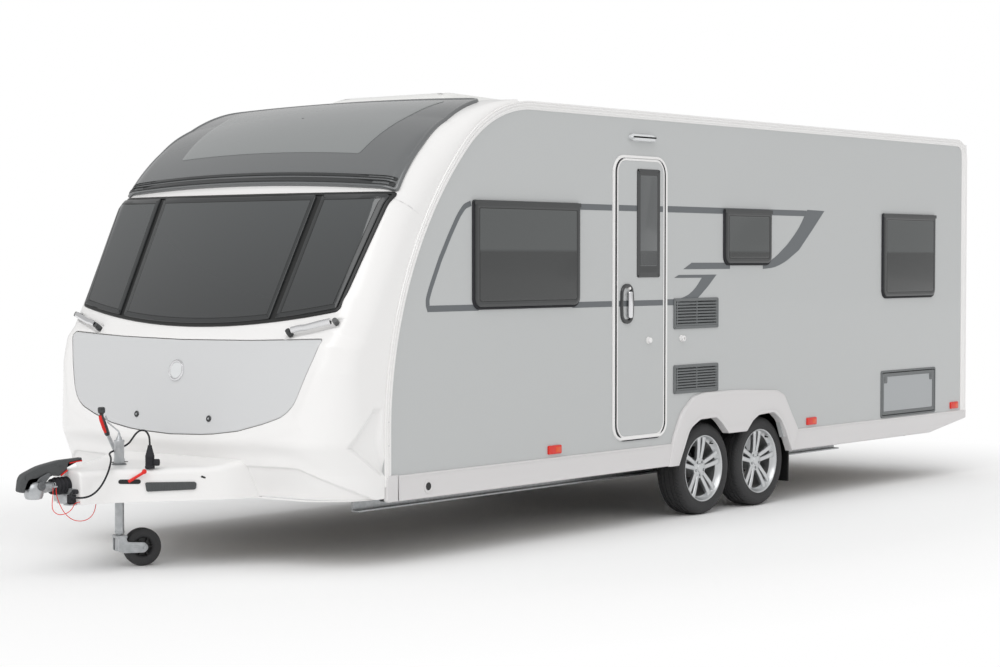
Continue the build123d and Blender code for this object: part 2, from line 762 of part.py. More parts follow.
def make_floor():
    """The floor, open over the wheels, with the gas locker's floor in front."""
    main_floor = block((-INNER, INNER), (BULKHEAD_Y[1], REAR_FACE - WALL), (WALL_FOOT, FLOOR_TOP))
    locker_floor = block((-INNER, INNER), (LOCKER_FRONT_Y, BULKHEAD_Y[1]), (WALL_FOOT, FLOOR_TOP))
    floor = main_floor + (locker_floor & FRONT_INNER)
    for well in both_sides(block((WHEEL_BOX_X, INNER), WHEEL_BOX_Y, (0.0, WHEEL_BOX_TOP))):
        floor -= well
    save("floor", floor)


def make_wheel_boxes():
    """Plastic housings over each pair of wheels, with a mud flap behind."""
    outer = block((WHEEL_BOX_X, INNER), WHEEL_BOX_Y, (WALL_FOOT, WHEEL_BOX_TOP))
    wall = WHEEL_BOX_WALL
    inner = block(
        (WHEEL_BOX_X + wall, INNER + 1.0),
        (WHEEL_BOX_Y[0] + wall, WHEEL_BOX_Y[1] - wall),
        (WALL_FOOT - 1.0, WHEEL_BOX_TOP - wall),
    )
    save("wheel_boxes", *both_sides(outer - inner), *both_sides(block(*MUD_FLAP)))


def make_edge_rails():
    """The ribbed rail round each side wall's front, top and rear edges."""
    grey = offset(wall_outline(foot=0.0), amount=-RAIL_WIDTH)
    inside = Pos(0.0, ROOF_TOP / 2) * Rectangle(2 * (REAR_FACE - REAR_STRIP), 2 * ROOF_TOP)
    ring = wall_outline(foot=RAIL_FOOT) - (grey & inside)
    rail = across(ring, (HALF, HALF + RAIL_PROUD))
    save("edge_rails", *both_sides(rail))


def make_skirts():
    """Side skirts and the moulded spats over the wheels."""
    front = across(outline(SKIRT), (HALF, HALF + SKIRT_PROUD))
    y, z, radius = JACK_HOLE
    front -= ring_x((y, z), radius, 0.0, (HALF - 1.0, HALF + SKIRT_PROUD + 1.0))
    rear = across(outline(REAR_SKIRT), (HALF, HALF + SKIRT_PROUD))
    spat = across(soft_outline(SPAT_OUTER) - soft_outline(SPAT_INNER), (HALF, HALF + SPAT_PROUD))
    save("side_skirts", *both_sides(front - spat), *both_sides(rear - spat))
    save("wheel_spats", *both_sides(spat))


def make_vents():
    """Two louvred grilles for the fridge, each with rows of slots on both sides of a mullion."""
    grilles = []
    start, left_end, right_start = VENT_SLOT_ENDS
    for y_low, y_high, z_low, z_high in VENTS:
        grille = across(rounded((y_low, y_high), (z_low, z_high), VENT_CORNER), (INNER, HALF))
        flange_y = (y_low - VENT_LAP, y_high + VENT_LAP)
        flange_z = (z_low - VENT_LAP, z_high + VENT_LAP)
        grille += across(rounded(flange_y, flange_z, VENT_CORNER + 2.0), (HALF, HALF + VENT_PROUD))
        pitch = (z_high - z_low - 2 * VENT_EDGE) / VENT_SLOTS
        for row in range(VENT_SLOTS):
            z = z_low + VENT_EDGE + pitch * (row + 0.3)
            slot_z = (z, z + pitch * VENT_SLOT_SHARE)
            grille -= block(VENT_SLOT_X, (y_low + start, y_low + left_end), slot_z)
            grille -= block(VENT_SLOT_X, (y_low + right_start, y_high - start), slot_z)
        grilles.append(grille)
    save("fridge_vents", *grilles)


def make_trim():
    """Roof fittings, grab handles, lamps and the door's surround."""
    cap = across(soft_outline(POD), (-POD_HALF, POD_HALF))
    x, y, radius = ROOF_VENT
    vent = rod((x, y, ROOF_TOP), (x, y, ROOF_TOP + ROOF_VENT_HEIGHT), radius)
    save("rooflight", cap, vent)

    handle = rod(*GRAB_BAR, GRAB_BAR_RADIUS)
    for x, y, z in GRAB_FEET:
        handle += rod((x, y, z), (x, y + GRAB_FOOT_DEPTH, z), GRAB_FOOT_RADIUS)
    save("grab_handles", *both_sides(handle - FRONT_OUTER))

    surround = rounded(DOOR_FRAME_Y, DOOR_FRAME_Z, DOOR_CORNERS["frame"])
    surround -= rounded(DOOR_Y, DOOR_Z, DOOR_CORNERS["opening"])
    knob = ring_x((RETAINER_Y[1], RETAINER_Z), RETAINER_RADIUS, 0.0, (HALF, HALF + RETAINER_PROUD))
    save("door_frame", across(surround, (INNER, HALF + DOOR_FRAME_PROUD)), knob)

    lamps = [across(rounded(*AWNING_LAMP, AWNING_LAMP_CORNER), (HALF, HALF + AWNING_LAMP_PROUD))]
    for y in MARKER_YS:
        face = rounded((y - MARKER_HALF, y + MARKER_HALF), MARKER_Z, MARKER_CORNER)
        lamps += both_sides(across(face, (HALF, HALF + MARKER_PROUD)))
    rear = along(rounded(*REAR_LAMP, REAR_CORNER), (REAR_FACE, REAR_FACE + REAR_PROUD))
    lamps += both_sides(rear)
    save("lamps", *lamps)


# ---- doors that open -----------------------------------------------------------------------
def make_entrance_door():
    """Door leaf with its window and handle."""
    y = (DOOR_Y[0] + GAP, DOOR_Y[1] - GAP)
    z = (DOOR_Z[0] + GAP, DOOR_Z[1] - GAP)
    face_x = HALF + DOOR_LEAF_PROUD
    pane = rounded(DOOR_WINDOW_Y, DOOR_WINDOW_Z, DOOR_CORNERS["pane"])
    cup_y = (DOOR_HANDLE_Y[0] + HANDLE_RIM, DOOR_HANDLE_Y[1] - HANDLE_RIM)
    cup_face = rounded(cup_y, HANDLE_CUP_Z, HANDLE_CORNERS["cup"])
    leaf = across(rounded(y, z, DOOR_CORNERS["leaf"]), (INNER + DOOR_LEAF_SINK, face_x))
    leaf -= across(pane, (INNER, face_x + 1.0))
    leaf -= across(cup_face, (HANDLE_CUP_X[0], face_x + 1.0))
    knob_x = (face_x, face_x + RETAINER_PROUD)
    leaf += ring_x((RETAINER_Y[0], RETAINER_Z), RETAINER_RADIUS, 0.0, knob_x)
    save("entrance_door", leaf)
    save("door_window", across(pane, (INNER + DOOR_LEAF_SINK, HALF + DOOR_PANE_PROUD)))
    rim = rounded(DOOR_HANDLE_Y, DOOR_HANDLE_Z, HANDLE_CORNERS["rim"])
    cup = across(cup_face, HANDLE_CUP_X)
    collar = across(rim - cup_face, (face_x, HALF + HANDLE_RIM_PROUD))
    middle_y, middle_z, width, height = HANDLE_COLLAR
    mouth = Pos(middle_y, middle_z) * RectangleRounded(width, height, HANDLE_CORNERS["collar"])
    collar += across(cup_face - mouth, HANDLE_COLLAR_X)
    grip = block(GRIP_X, GRIP_Y, GRIP_Z)
    grip -= block((GRIP_X[0] - 1.0, GRIP_BAR_X), (GRIP_Y[0] - 4.0, GRIP_Y[1] + 4.0), GRIP_HOLE_Z)
    save("door_handle", cup + collar + grip)


def make_hatch(hatch):
    """The frame and the leaf of one locker door, on the door side."""
    y_low, y_high, z_low, z_high = hatch
    frame = rounded(hatch[:2], hatch[2:], LOCKER_CORNERS["frame"])
    inner_y = (y_low + LOCKER_FRAME, y_high - LOCKER_FRAME)
    inner_z = (z_low + LOCKER_FRAME, z_high - LOCKER_FRAME)
    frame -= rounded(inner_y, inner_z, LOCKER_CORNERS["opening"])
    leaf_y = (inner_y[0] + GAP, inner_y[1] - GAP)
    leaf_z = (inner_z[0] + GAP, inner_z[1] - GAP)
    leaf = rounded(leaf_y, leaf_z, LOCKER_CORNERS["leaf"])
    return (
        across(frame, (INNER, HALF + LOCKER_FRAME_PROUD)),
        across(leaf, (INNER, HALF + LOCKER_LEAF_PROUD)),
    )


def make_hatches():
    """The rear service door and the toilet cassette door."""
    service_frame, service_leaf = make_hatch(SERVICE_DOOR)
    cassette_frame, cassette_leaf = make_hatch(CASSETTE_DOOR)
    save("service_door", service_leaf)
    save("cassette_door", mirror(cassette_leaf, about=Plane.YZ))
    save("hatch_frames", service_frame, mirror(cassette_frame, about=Plane.YZ))


# ---- chassis and running gear --------------------------------------------------------------
def make_chassis():
    """Two channel rails with cross members, and the A-frame in front."""
    web = CHANNEL_WEB
    inner = RAIL_MID_X - CHANNEL_HALF
    outer = RAIL_MID_X + CHANNEL_HALF
    channel = outline(
        [
            (inner, CHASSIS_FOOT),
            (outer, CHASSIS_FOOT),
            (outer, CHASSIS_FOOT + web),
            (inner + web, CHASSIS_FOOT + web),
            (inner + web, WALL_FOOT - web),
            (outer, WALL_FOOT - web),
            (outer, WALL_FOOT),
            (inner, WALL_FOOT),
        ]
    )
    rail = along(channel, CHANNEL_Y)
    rail += block((inner, inner + web), TAIL_Y, (TAIL_FOOT, WALL_FOOT))
    for y in WHEEL_YS.values():
        seat = AXLE_RADIUS + AXLE_SEAT_GAP
        rail -= ring_x((y - AXLE_LEAD, AXLE_Z), seat, 0.0, (inner - 1.0, outer + 1.0))
    crosses = [
        block((-inner, inner), (y - CROSS_HALF, y + CROSS_HALF), (low, WALL_FOOT))
        for y, low in CROSS_MEMBERS
    ]
    brackets = []
    for pivot_y in (STEADY_FRONT_Y, STEADY_REAR_Y):
        brackets += both_sides(steady_bracket(pivot_y))
    save("chassis_frame", *both_sides(rail), *crosses, *brackets)
    save("drawbar_frame", *drawbar_beams())


def steady_bracket(pivot_y):
    """Two ears under the floor and the pin a corner steady hangs on."""
    outer = (STEADY_X - EAR_OUTER, STEADY_X + EAR_OUTER)
    slot_y = (pivot_y - EAR_HALF_Y - 1.0, pivot_y + EAR_HALF_Y + 1.0)
    ear_y = (pivot_y - EAR_HALF_Y, pivot_y + EAR_HALF_Y)
    inner = (STEADY_X - EAR_INNER, STEADY_X + EAR_INNER)
    bracket = block(outer, ear_y, (STEADY_PIVOT_Z - EAR_DROP, WALL_FOOT))
    bracket -= block(inner, slot_y, (CHASSIS_FOOT, WALL_FOOT - EAR_ROOF))
    bracket += ring_x((pivot_y, STEADY_PIVOT_Z), STEADY_PIN_RADIUS, 0.0, outer)
    return bracket


def make_steadies():
    """Four swinging legs, stored flat under the floor."""
    half_x, half_z = STEADY_ARM_HALF
    x = (STEADY_X - half_x, STEADY_X + half_x)
    for place, pivot_y, way in (("front", STEADY_FRONT_Y, -1.0), ("rear", STEADY_REAR_Y, 1.0)):
        tip = pivot_y + way * STEADY_REACH
        y = (min(pivot_y, tip), max(pivot_y, tip))
        pivot = (pivot_y, STEADY_PIVOT_Z)
        arm = block(x, y, (STEADY_PIVOT_Z - half_z, STEADY_PIVOT_Z + half_z))
        arm += ring_x(pivot, STEADY_EYE_RADIUS, 0.0, x)
        arm -= ring_x(pivot, STEADY_PIN_RADIUS + RUNNING_GAP, 0.0, (x[0] - 1.0, x[1] + 1.0))
        tilt = Rot(way * STEADY_FOOT_TILT, 0, 0)
        arm += Pos(STEADY_X, tip, STEADY_PIVOT_Z - STEADY_FOOT_DROP) * tilt * Box(*STEADY_FOOT)
        left, right = both_sides(arm)
        save(f"steady_{place}_left", left)
        save(f"steady_{place}_right", right)


def make_axles():
    """Two axle tubes, their trailing arms, brake drums and stubs."""
    (back, ahead), (low_end, high_end) = ARM_ENDS, ARM_HEIGHTS
    solids = []
    for y in WHEEL_YS.values():
        axle_y = y - AXLE_LEAD
        beam = ring_x((axle_y, AXLE_Z), AXLE_RADIUS, 0.0, (-AXLE_END_X, AXLE_END_X))
        arm_face = soft_outline(
            [
                (axle_y - back, AXLE_Z + low_end[0], ARM_CORNER),
                (axle_y - back, AXLE_Z - low_end[1], ARM_CORNER),
                (y + ahead, TYRE_RADIUS - high_end[1], ARM_CORNER),
                (y + ahead, TYRE_RADIUS + high_end[0], ARM_CORNER),
            ]
        )
        end = across(arm_face, ARM_X)
        end += ring_x((y, TYRE_RADIUS), DRUM_RADIUS, 0.0, DRUM_X)
        end += ring_x((y, TYRE_RADIUS), STUB_RADIUS, 0.0, STUB_X)
        end += ring_x((axle_y, AXLE_Z), SWING_RADIUS, 0.0, SWING_X)
        for shape in both_sides(end):
            beam += shape
        solids.append(beam)
    save("axles", *solids)


def make_tyre():
    """One tyre as a turned section about the wheel's axle, on the door side."""
    face = soft_outline([(x, r, radius) for r, x, radius in TYRE_SECTION])
    return revolve(Plane.XY * face, Axis.X)


def make_rim():
    """One alloy wheel: barrel, ten spokes and a bored hub."""
    half = RIM_WIDTH / 2
    barrel = across(Circle(RIM_RADIUS) - Circle(RIM_RADIUS - RIM_WALL), (-half, half))
    disc_radius = RIM_RADIUS - DISC_INSET
    spoke_length = RIM_RADIUS - SPOKE_START - DISC_INSET
    spoke = Pos(disc_radius / 2 + 24.0, 0.0) * Rectangle(spoke_length, SPOKE_WIDTH)
    spokes = Circle(HUB_RADIUS)
    turn = 720.0 / SPOKES
    for pair in range(SPOKES // 2):
        for lean in (-SPOKE_LEAN, SPOKE_LEAN):
            spokes += Rot(0, 0, 90.0 + pair * turn + lean) * spoke
    disc = across(spokes & Circle(disc_radius), SPOKE_DISC)
    hub_face = Circle(HUB_RADIUS - 4.0)
    hub = across(hub_face - Circle(HUB_BORE_RADIUS), (HUB_BACK, 0.0))
    hub += across(hub_face, (0.0, SPOKE_DISC[0]))
    return barrel + disc + hub


def make_wheels():
    """Four road wheels."""
    tyre, rim = make_tyre(), make_rim()
    for place, y in WHEEL_YS.items():
        for side, sign in (("left", 1.0), ("right", -1.0)):
            turn = Rot(0, 0, 0 if sign > 0 else 180.0)
            spot = Pos(sign * TYRE_MID_X, y, TYRE_RADIUS) * turn
            save(f"tyre_{place}_{side}", spot * tyre)
            save(f"rim_{place}_{side}", spot * rim)


# ---- hitch ---------------------------------------------------------------------------------
def make_cover():
    """The moulded drawbar cover, bored for the jockey wheel's sleeve."""
    cover = drawbar_cover_form() - drawbar_cover_form(COVER_WALL)
    cover -= FRONT_INNER
    cover -= upright_rod((0.0, JOCKEY_Y), JOCKEY_SLEEVE_RADIUS + 1.0, (CHASSIS_FOOT, COVER_TOP + 1.0))
    for beam in drawbar_beams():
        cover -= beam
    save("drawbar_cover", cover)


def make_coupling():
    """Coupling head with its ball socket, the long handle over it and the rubber bellows."""
    ball = Pos(0.0, BALL_Y, BALL_Z)
    head = ball * Sphere(HEAD_RADIUS)
    head &= block((-HEAD_CUT, HEAD_CUT), (BALL_Y - HEAD_CUT, BALL_Y + HEAD_CUT), HEAD_Z)
    head += rod((0.0, BALL_Y, COUPLING_Z), (0.0, COUPLING_FACE_Y, COUPLING_Z), NECK_RADIUS)
    head -= upright_rod((0.0, BALL_Y), BALL_SOCKET_RADIUS, (BALL_Z - HEAD_CUT, SOCKET_TOP))
    save("coupling_head", head)
    handle = across(soft_outline(HANDLE), (-HANDLE_HALF, HANDLE_HALF))
    save("coupling_lever", handle - ball * Sphere(HEAD_RADIUS + 1.0))
    bellows_y = (COUPLING_FACE_Y - BELLOWS_LENGTH, COUPLING_FACE_Y)
    save("coupling_gaiter", ring_y((0.0, COUPLING_Z), BELLOWS_RADIUS, NECK_RADIUS, bellows_y))


def make_levers():
    """Jockey wheel sleeve with its clamp, and the two hand levers on the drawbar."""
    spot = (0.0, JOCKEY_Y)
    sleeve = upright_rod(spot, JOCKEY_SLEEVE_RADIUS, SLEEVE_Z)
    sleeve += block(CLAMP_X, (JOCKEY_Y - CLAMP_HALF_Y, JOCKEY_Y + CLAMP_HALF_Y), CLAMP_Z)
    sleeve -= upright_rod(spot, JOCKEY_TUBE_RADIUS + RUNNING_GAP, (SLEEVE_Z[0] - 10.0, SLEEVE_BORE_TOP))
    save("jockey_sleeve", sleeve)
    handbrake = block(*HANDBRAKE_FOOT)
    for start, end, radius in HANDBRAKE_RODS:
        handbrake += rod((HANDBRAKE_X, *start), (HANDBRAKE_X, *end), radius)
    start, end, radius = CLAMP_ARM
    clamp_arm = rod(start, end, radius) + Pos(*CLAMP_BALL[:3]) * Sphere(CLAMP_BALL[3])
    save("hand_levers", handbrake, clamp_arm - drawbar_cover_form())


def make_cables():
    """The electric cable with its parked plug, and the thin breakaway cable with its clip."""
    cord("connecting_cable", CONNECTING_CABLE, CONNECTING_CABLE_DIAMETER)
    cord("breakaway_cable", BREAKAWAY_CABLE, BREAKAWAY_DIAMETER)
    cord("breakaway_tail", BREAKAWAY_TAIL, BREAKAWAY_DIAMETER)
    x, y = PLUG_SPOT
    radius, height = PLUG_BODY
    boot_foot, boot_tip, boot_height = PLUG_BOOT
    plug = upright_rod(PLUG_SPOT, radius, (COVER_TOP, COVER_TOP + height))
    plug += Pos(x, y, COVER_TOP + height + boot_height / 2) * Cone(boot_foot, boot_tip, boot_height)
    near, far, z = PLUG_LID
    plug += rod((x + near[0], y + near[1], z), (x + far[0], y + far[1], z), PLUG_LID_RADIUS)
    save("cable_plug", plug)
    save("breakaway_clip", block(*BREAKAWAY_CLIP))


def make_jockey():
    """Jockey wheel: sliding leg, swivelling fork and wheel, trailing at an angle."""
    leg = upright_rod((0.0, JOCKEY_Y), JOCKEY_TUBE_RADIUS, (LEG_FOOT, JOCKEY_LEG_TOP))
    hole_radius = SPINDLE_RADIUS + RUNNING_GAP
    leg -= upright_rod((0.0, JOCKEY_Y), hole_radius, (LEG_FOOT - 1.0, SPINDLE_HOLE_TOP))
    save("jockey_leg", leg)
    place = Pos(0.0, JOCKEY_Y, 0.0) * Rot(0, 0, JOCKEY_YAW)
    fork = upright_rod((0.0, 0.0), SPINDLE_RADIUS, SPINDLE_Z) + block(*CROWN)
    for cheek in both_sides(across(soft_outline(CHEEK), CHEEK_X)):
        fork += cheek
    hub = (JOCKEY_TRAIL, JOCKEY_WHEEL_RADIUS)
    fork += ring_x(hub, JOCKEY_AXLE_RADIUS, 0.0, (-CHEEK_X[1], CHEEK_X[1]))
    save("jockey_fork", place * fork)
    width = (-JOCKEY_WHEEL_HALF, JOCKEY_WHEEL_HALF)
    save("jockey_wheel", place * ring_x(hub, JOCKEY_WHEEL_RADIUS, JOCKEY_AXLE_RADIUS + RUNNING_GAP, width))


def main():
    """Build every sub-part and write its STEP file."""
    os.makedirs("parts", exist_ok=True)
    make_front()
    make_side_walls()
    make_roof_and_rear()
    make_floor()
    make_wheel_boxes()
    make_edge_rails()
    make_skirts()
    make_vents()
    make_trim()
    make_entrance_door()
    make_hatches()
    make_chassis()
    make_steadies()
    make_axles()
    make_wheels()
    make_cover()
    make_coupling()
    make_levers()
    make_cables()
    make_jockey()


main()
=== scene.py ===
"""Looks of a twin-axle travel caravan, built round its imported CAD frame.

The caravan is towed towards -Y, its entrance door is on +X and +Z is up, in metres. Every new
piece is a surface worked out with numpy: a loop carried along a profile, a profile carried along
a path, or a section turned about an axis. Pieces are written at their own place, so each object
stays at the origin, unturned and unscaled.
"""

import logging
import math
from dataclasses import dataclass, field
from enum import Enum
from typing import Callable, Optional, Sequence

import bmesh
import bpy
import numpy as np
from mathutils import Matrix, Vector


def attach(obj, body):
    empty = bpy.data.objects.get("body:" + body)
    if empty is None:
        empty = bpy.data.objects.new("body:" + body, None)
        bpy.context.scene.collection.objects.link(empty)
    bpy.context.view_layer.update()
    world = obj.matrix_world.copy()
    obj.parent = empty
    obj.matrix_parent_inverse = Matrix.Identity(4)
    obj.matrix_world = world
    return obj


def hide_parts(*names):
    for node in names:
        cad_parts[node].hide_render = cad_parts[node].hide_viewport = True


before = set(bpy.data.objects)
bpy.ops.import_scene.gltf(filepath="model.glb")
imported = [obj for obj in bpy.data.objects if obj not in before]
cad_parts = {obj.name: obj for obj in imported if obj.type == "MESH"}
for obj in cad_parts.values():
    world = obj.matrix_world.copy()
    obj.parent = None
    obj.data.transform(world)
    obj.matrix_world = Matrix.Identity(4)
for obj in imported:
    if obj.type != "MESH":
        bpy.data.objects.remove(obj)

Array = np.ndarray
Place = Callable[[Array, Array, Array], Array]
Corner = tuple[float, ...]

LOG = logging.getLogger("caravan")
BODY = "caravan"
DOOR = "entrance_door"
LID = "locker_lid"
HALF = 1.12  # half-width of the body
REAR = 3.995  # outer face of the rear wall
NOSE = -2.517  # front edge of the side walls
NOSE_MIDDLE = (-0.317, 0.7)  # middle of their wide front arc, in y and z
NOSE_RADIUS = 2.2
ROOF_TOP = 2.505
JOCKEY = (0.0, -3.352)  # place of the jockey wheel's leg, in x and y
SHARP = math.radians(34.0)  # edges sharper than this stay crisp
CRISP = math.radians(50.0)  # the same for surfaces with tight bends
PURE = (1.0, 1.0, 1.0, 1.0)
UP = (0, 0, 1)
ACROSS = (1, 0, 0)
AHEAD = (0, 1, 0)


class Side(Enum):
    """A flank of the caravan: +X carries the entrance door."""

    LEFT = 1.0
    RIGHT = -1.0


def mm(*corners: Corner) -> tuple[Corner, ...]:
    """Corners given in millimetres, as metres."""
    return tuple(tuple(size / 1000.0 for size in corner) for corner in corners)


def spot_of(x: object, y: object, z: object) -> Array:
    """Points from three arrays that are stretched to one shape."""
    return np.stack(np.broadcast_arrays(x, y, z), -1)


# ---- finishes
def fill(node: bpy.types.Node, **values: object) -> bpy.types.Node:
    """Set a node's sockets, where an underscore stands for a space in a socket's name.

    Args:
        node: Node to set.
        **values: Value of each socket.

    Returns:
        The same node.
    """
    for socket, value in values.items():
        node.inputs[socket.replace("_", " ")].default_value = value
    return node


def tint(code: str) -> tuple[float, float, float, float]:
    """A linear colour with alpha from an sRGB hex code.

    Args:
        code: Colour as a number sign and six hex digits.

    Returns:
        Shares of red, green and blue, and one for alpha.
    """
    shares = [int(code[i : i + 2], 16) / 255.0 for i in (1, 3, 5)]
    linear = [s / 12.92 if s <= 0.04045 else ((s + 0.055) / 1.055) ** 2.4 for s in shares]
    return (*linear, 1.0)


@dataclass(frozen=True)
class Finish:
    """One surface finish.

    Attributes:
        slot: Material slot of the part's record; not used.
        colour: Base colour as an sRGB hex code.
        rough: Surface roughness.
        metal: Share of metal.
        coat: Weight of the clear coat.
        mottle: How far the colour strays, as a second hex code, or empty.
        grain: Depth of the fine bumps, in metres.
        scale: Fineness of the bumps and the mottling, per metre.
        fade: Second colour that the first one turns into, and the two heights between; on the panes it
            paints the reflection of the horizon and the sky into the colour.
    """

    slot: str
    colour: str
    rough: float
    metal: float = 0.0
    coat: float = 0.0
    mottle: str = ""
    grain: float = 0.0
    scale: float = 60.0
    fade: tuple[str, float, float] = ("", 0.0, 1.0)

    def material(self, name: str) -> bpy.types.Material:
        """Make the material, or return the one already made.

        Args:
            name: Name of the material.

        Returns:
            A node material driven by Object coordinates.
        """
        known = bpy.data.materials.get(name)
        if known:
            return known
        made = bpy.data.materials.new(name)
        made.use_nodes = True
        nodes, join = made.node_tree.nodes, made.node_tree.links.new
        shader = fill(
            nodes["Principled BSDF"], Base_Color=tint(self.colour), Roughness=self.rough,
            Metallic=self.metal, Coat_Weight=self.coat, Coat_Roughness=0.06,
        )
        made.diffuse_color = tint(self.colour)
        spots = nodes.new("ShaderNodeTexCoord")
        # Painted reflection: above a height the colour turns into the lighter second one, standing for
        # the mirrored sky.
        if self.fade[0]:
            parts, span, mix = (
                nodes.new(f"ShaderNode{kind}") for kind in ("SeparateXYZ", "MapRange", "Mix")
            )
            mix.data_type = "RGBA"
            fill(span, From_Min=self.fade[1], From_Max=self.fade[2])
            mix.inputs[6].default_value = tint(self.colour)
            mix.inputs[7].default_value = tint(self.fade[0])
            join(spots.outputs["Object"], parts.inputs[0])
            join(parts.outputs["Z"], span.inputs["Value"])
            join(span.outputs[0], mix.inputs[0])
            join(mix.outputs[2], shader.inputs["Base Color"])
        if not (self.mottle or self.grain):
            return made
        noise = fill(nodes.new("ShaderNodeTexNoise"), Scale=self.scale, Detail=3.0)
        join(spots.outputs["Object"], noise.inputs["Vector"])
        if self.mottle:
            ramp = nodes.new("ShaderNodeValToRGB")
            stops = ((0.38, self.colour), (0.62, self.mottle))
            for stop, (share, colour) in zip(ramp.color_ramp.elements, stops):
                stop.position, stop.color = share, tint(colour)
            join(noise.outputs["Fac"], ramp.inputs["Fac"])
            join(ramp.outputs["Color"], shader.inputs["Base Color"])
        if self.grain:
            bump = fill(nodes.new("ShaderNodeBump"), Distance=self.grain)
            join(noise.outputs["Fac"], bump.inputs["Height"])
            join(bump.outputs["Normal"], shader.inputs["Normal"])
        return made


class Look(Enum):
    """The finishes of the caravan."""

    WHITE = Finish("white_moulding", "#EDECEB", 0.3, coat=0.35)
    ROOF = Finish("roof_white", "#EAEAE8", 0.45)
    WALL = Finish("silver_wall", "#BCBEBE", 0.38, coat=0.25)
    LID = Finish("lid_silver", "#CDCECF", 0.32, coat=0.35)
    # Painted shade: the white moulding made greyer for the skirts, their ends and the spats, as they face
    # sideways away from the light.
    SKIRT = Finish("white_moulding", "#D6D4D4", 0.34, coat=0.25)
    BROW = Finish("window_glass", "#666869", 0.22, coat=0.5)
    STRIPE = Finish("grey_plastic", "#63676A", 0.4)
    TRIM = Finish("grey_plastic", "#6A6D6E", 0.45, grain=0.0004, scale=900.0)
    GREY = Finish("grey_plastic", "#484A4B", 0.5, grain=0.0004, scale=900.0)
    PANEL = Finish("white_moulding", "#A9ACAE", 0.42)
    # Painted reflection: these panes turn from dark grey to a lighter grey towards their tops, as the
    # mirrored sky.
    GLASS = Finish("window_glass", "#2E3031", 0.1, coat=0.8, fade=("#434647", 1.3, 1.95))
    # Painted reflection: side panes dark below a line at about 1.66 m and lighter above it, standing for
    # the mirrored horizon and sky.
    SHADE = Finish("window_glass", "#2B2D2D", 0.16, coat=0.3, fade=("#4A4D4D", 1.655, 1.672))
    # Painted reflection: a lighter grey for the door glass, standing for the mirrored sky.
    BLIND = Finish("window_glass", "#4C4F50", 0.16, coat=0.8)
    # Partly the smoked tint of the roof panes, partly painted reflection: the light grey stands for the
    # sky mirrored in them.
    SMOKE = Finish("window_glass", "#858888", 0.26, coat=0.5)
    EDGE = Finish("black_plastic", "#2A2C2D", 0.28, coat=0.4)
    BLACK = Finish("black_plastic", "#161717", 0.42)
    RUBBER = Finish("rubber", "#1D1D1E", 0.72, grain=0.0005, scale=700.0)
    TYRE = Finish("tyre_rubber", "#333334", 0.8, mottle="#3A3A3B", grain=0.0006, scale=420.0)
    ALLOY = Finish("alloy", "#DEDFE0", 0.3, metal=0.45, coat=0.3)
    # Painted shade: galvanised steel made nearly black, to sink into the shadow under the floor.
    DRUM = Finish("galvanised", "#2C2D2E", 0.7, mottle="#363738", scale=90.0)
    ZINC = Finish("galvanised", "#BDBFC1", 0.34, metal=0.6, mottle="#B0B3B5", scale=35.0)
    CHROME = Finish("chrome", "#E6E7E8", 0.1, metal=1.0)
    CAST = Finish("cast_coupling", "#5E6062", 0.5, metal=0.3, mottle="#6C6E70", grain=0.0008, scale=260.0)
    RED = Finish("red_cable", "#DC1C10", 0.45)
    LAMP = Finish("red_lens", "#DA1E08", 0.35, coat=0.2)
    AMBER = Finish("red_lens", "#E04E12", 0.35, coat=0.2)
    CLEAR = Finish("white_moulding", "#DADCDD", 0.15, coat=0.8)
    BOARD = Finish("inner_board", "#9A9288", 0.6, mottle="#8E867C", scale=30.0)

    def material(self) -> bpy.types.Material:
        """The node material of this finish."""
        return self.value.material(self.name.lower())


# ---- surfaces
def rounded(corners: Sequence[Corner], closed: bool = True, turn: float = 0.16) -> Array:
    """A flat line through corners, each swept by an arc of its own radius.

    Args:
        corners: Points as (a, b) or (a, b, radius).
        closed: Whether the line returns to its first corner.
        turn: Angle of each arc's steps, in radians.

    Returns:
        Points of shape (n, 2).
    """
    spots = [np.array(c[:2], float) for c in corners]
    radii = [c[2] if len(c) > 2 else 0.0 for c in corners]
    line = []
    for i, (spot, radius) in enumerate(zip(spots, radii)):
        if radius <= 0.0 or (not closed and i in (0, len(spots) - 1)):
            line.append(spot[None])
            continue
        back, on = spots[i - 1] - spot, spots[(i + 1) % len(spots)] - spot
        reach_back, reach_on = np.linalg.norm(back), np.linalg.norm(on)
        back, on = back / reach_back, on / reach_on
        half = math.acos(float(np.clip(back @ on, -1.0, 1.0))) / 2.0
        if half > math.pi / 2.0 - 1e-4:
            line.append(spot[None])
            continue
        cut = min(radius / math.tan(half), 0.499 * reach_back, 0.499 * reach_on)
        swing = math.pi - 2.0 * half
        middle = spot + (back + on) / np.linalg.norm(back + on) * cut / math.cos(half)
        share = np.linspace(0.0, 1.0, max(3, int(swing / turn) + 2))[:, None]
        first, last = spot + back * cut - middle, spot + on * cut - middle
        arc = np.sin((1.0 - share) * swing) * first + np.sin(share * swing) * last
        line.append(middle + arc / math.sin(swing))
    return np.concatenate(line)


def dense(line: Array, step: float, closed: bool = True) -> Array:
    """The same line with its long runs split so that no run is longer than step.

    Args:
        line: Points of shape (n, 2).
        step: Longest run that is left whole.
        closed: Whether the line returns to its start.

    Returns:
        Points of shape (m, 2).
    """
    ends = np.roll(line, -1, 0) if closed else line[1:]
    starts = line if closed else line[:-1]
    counts = np.maximum(1, np.ceil(np.linalg.norm(ends - starts, axis=1) / step)).astype(int)
    index = np.repeat(np.arange(len(counts)), counts)
    share = (np.arange(counts.sum()) - np.repeat(np.cumsum(counts) - counts, counts)) / counts[index]
    split = starts[index] + (ends - starts)[index] * share[:, None]
    return split if closed else np.concatenate([split, line[-1:]])


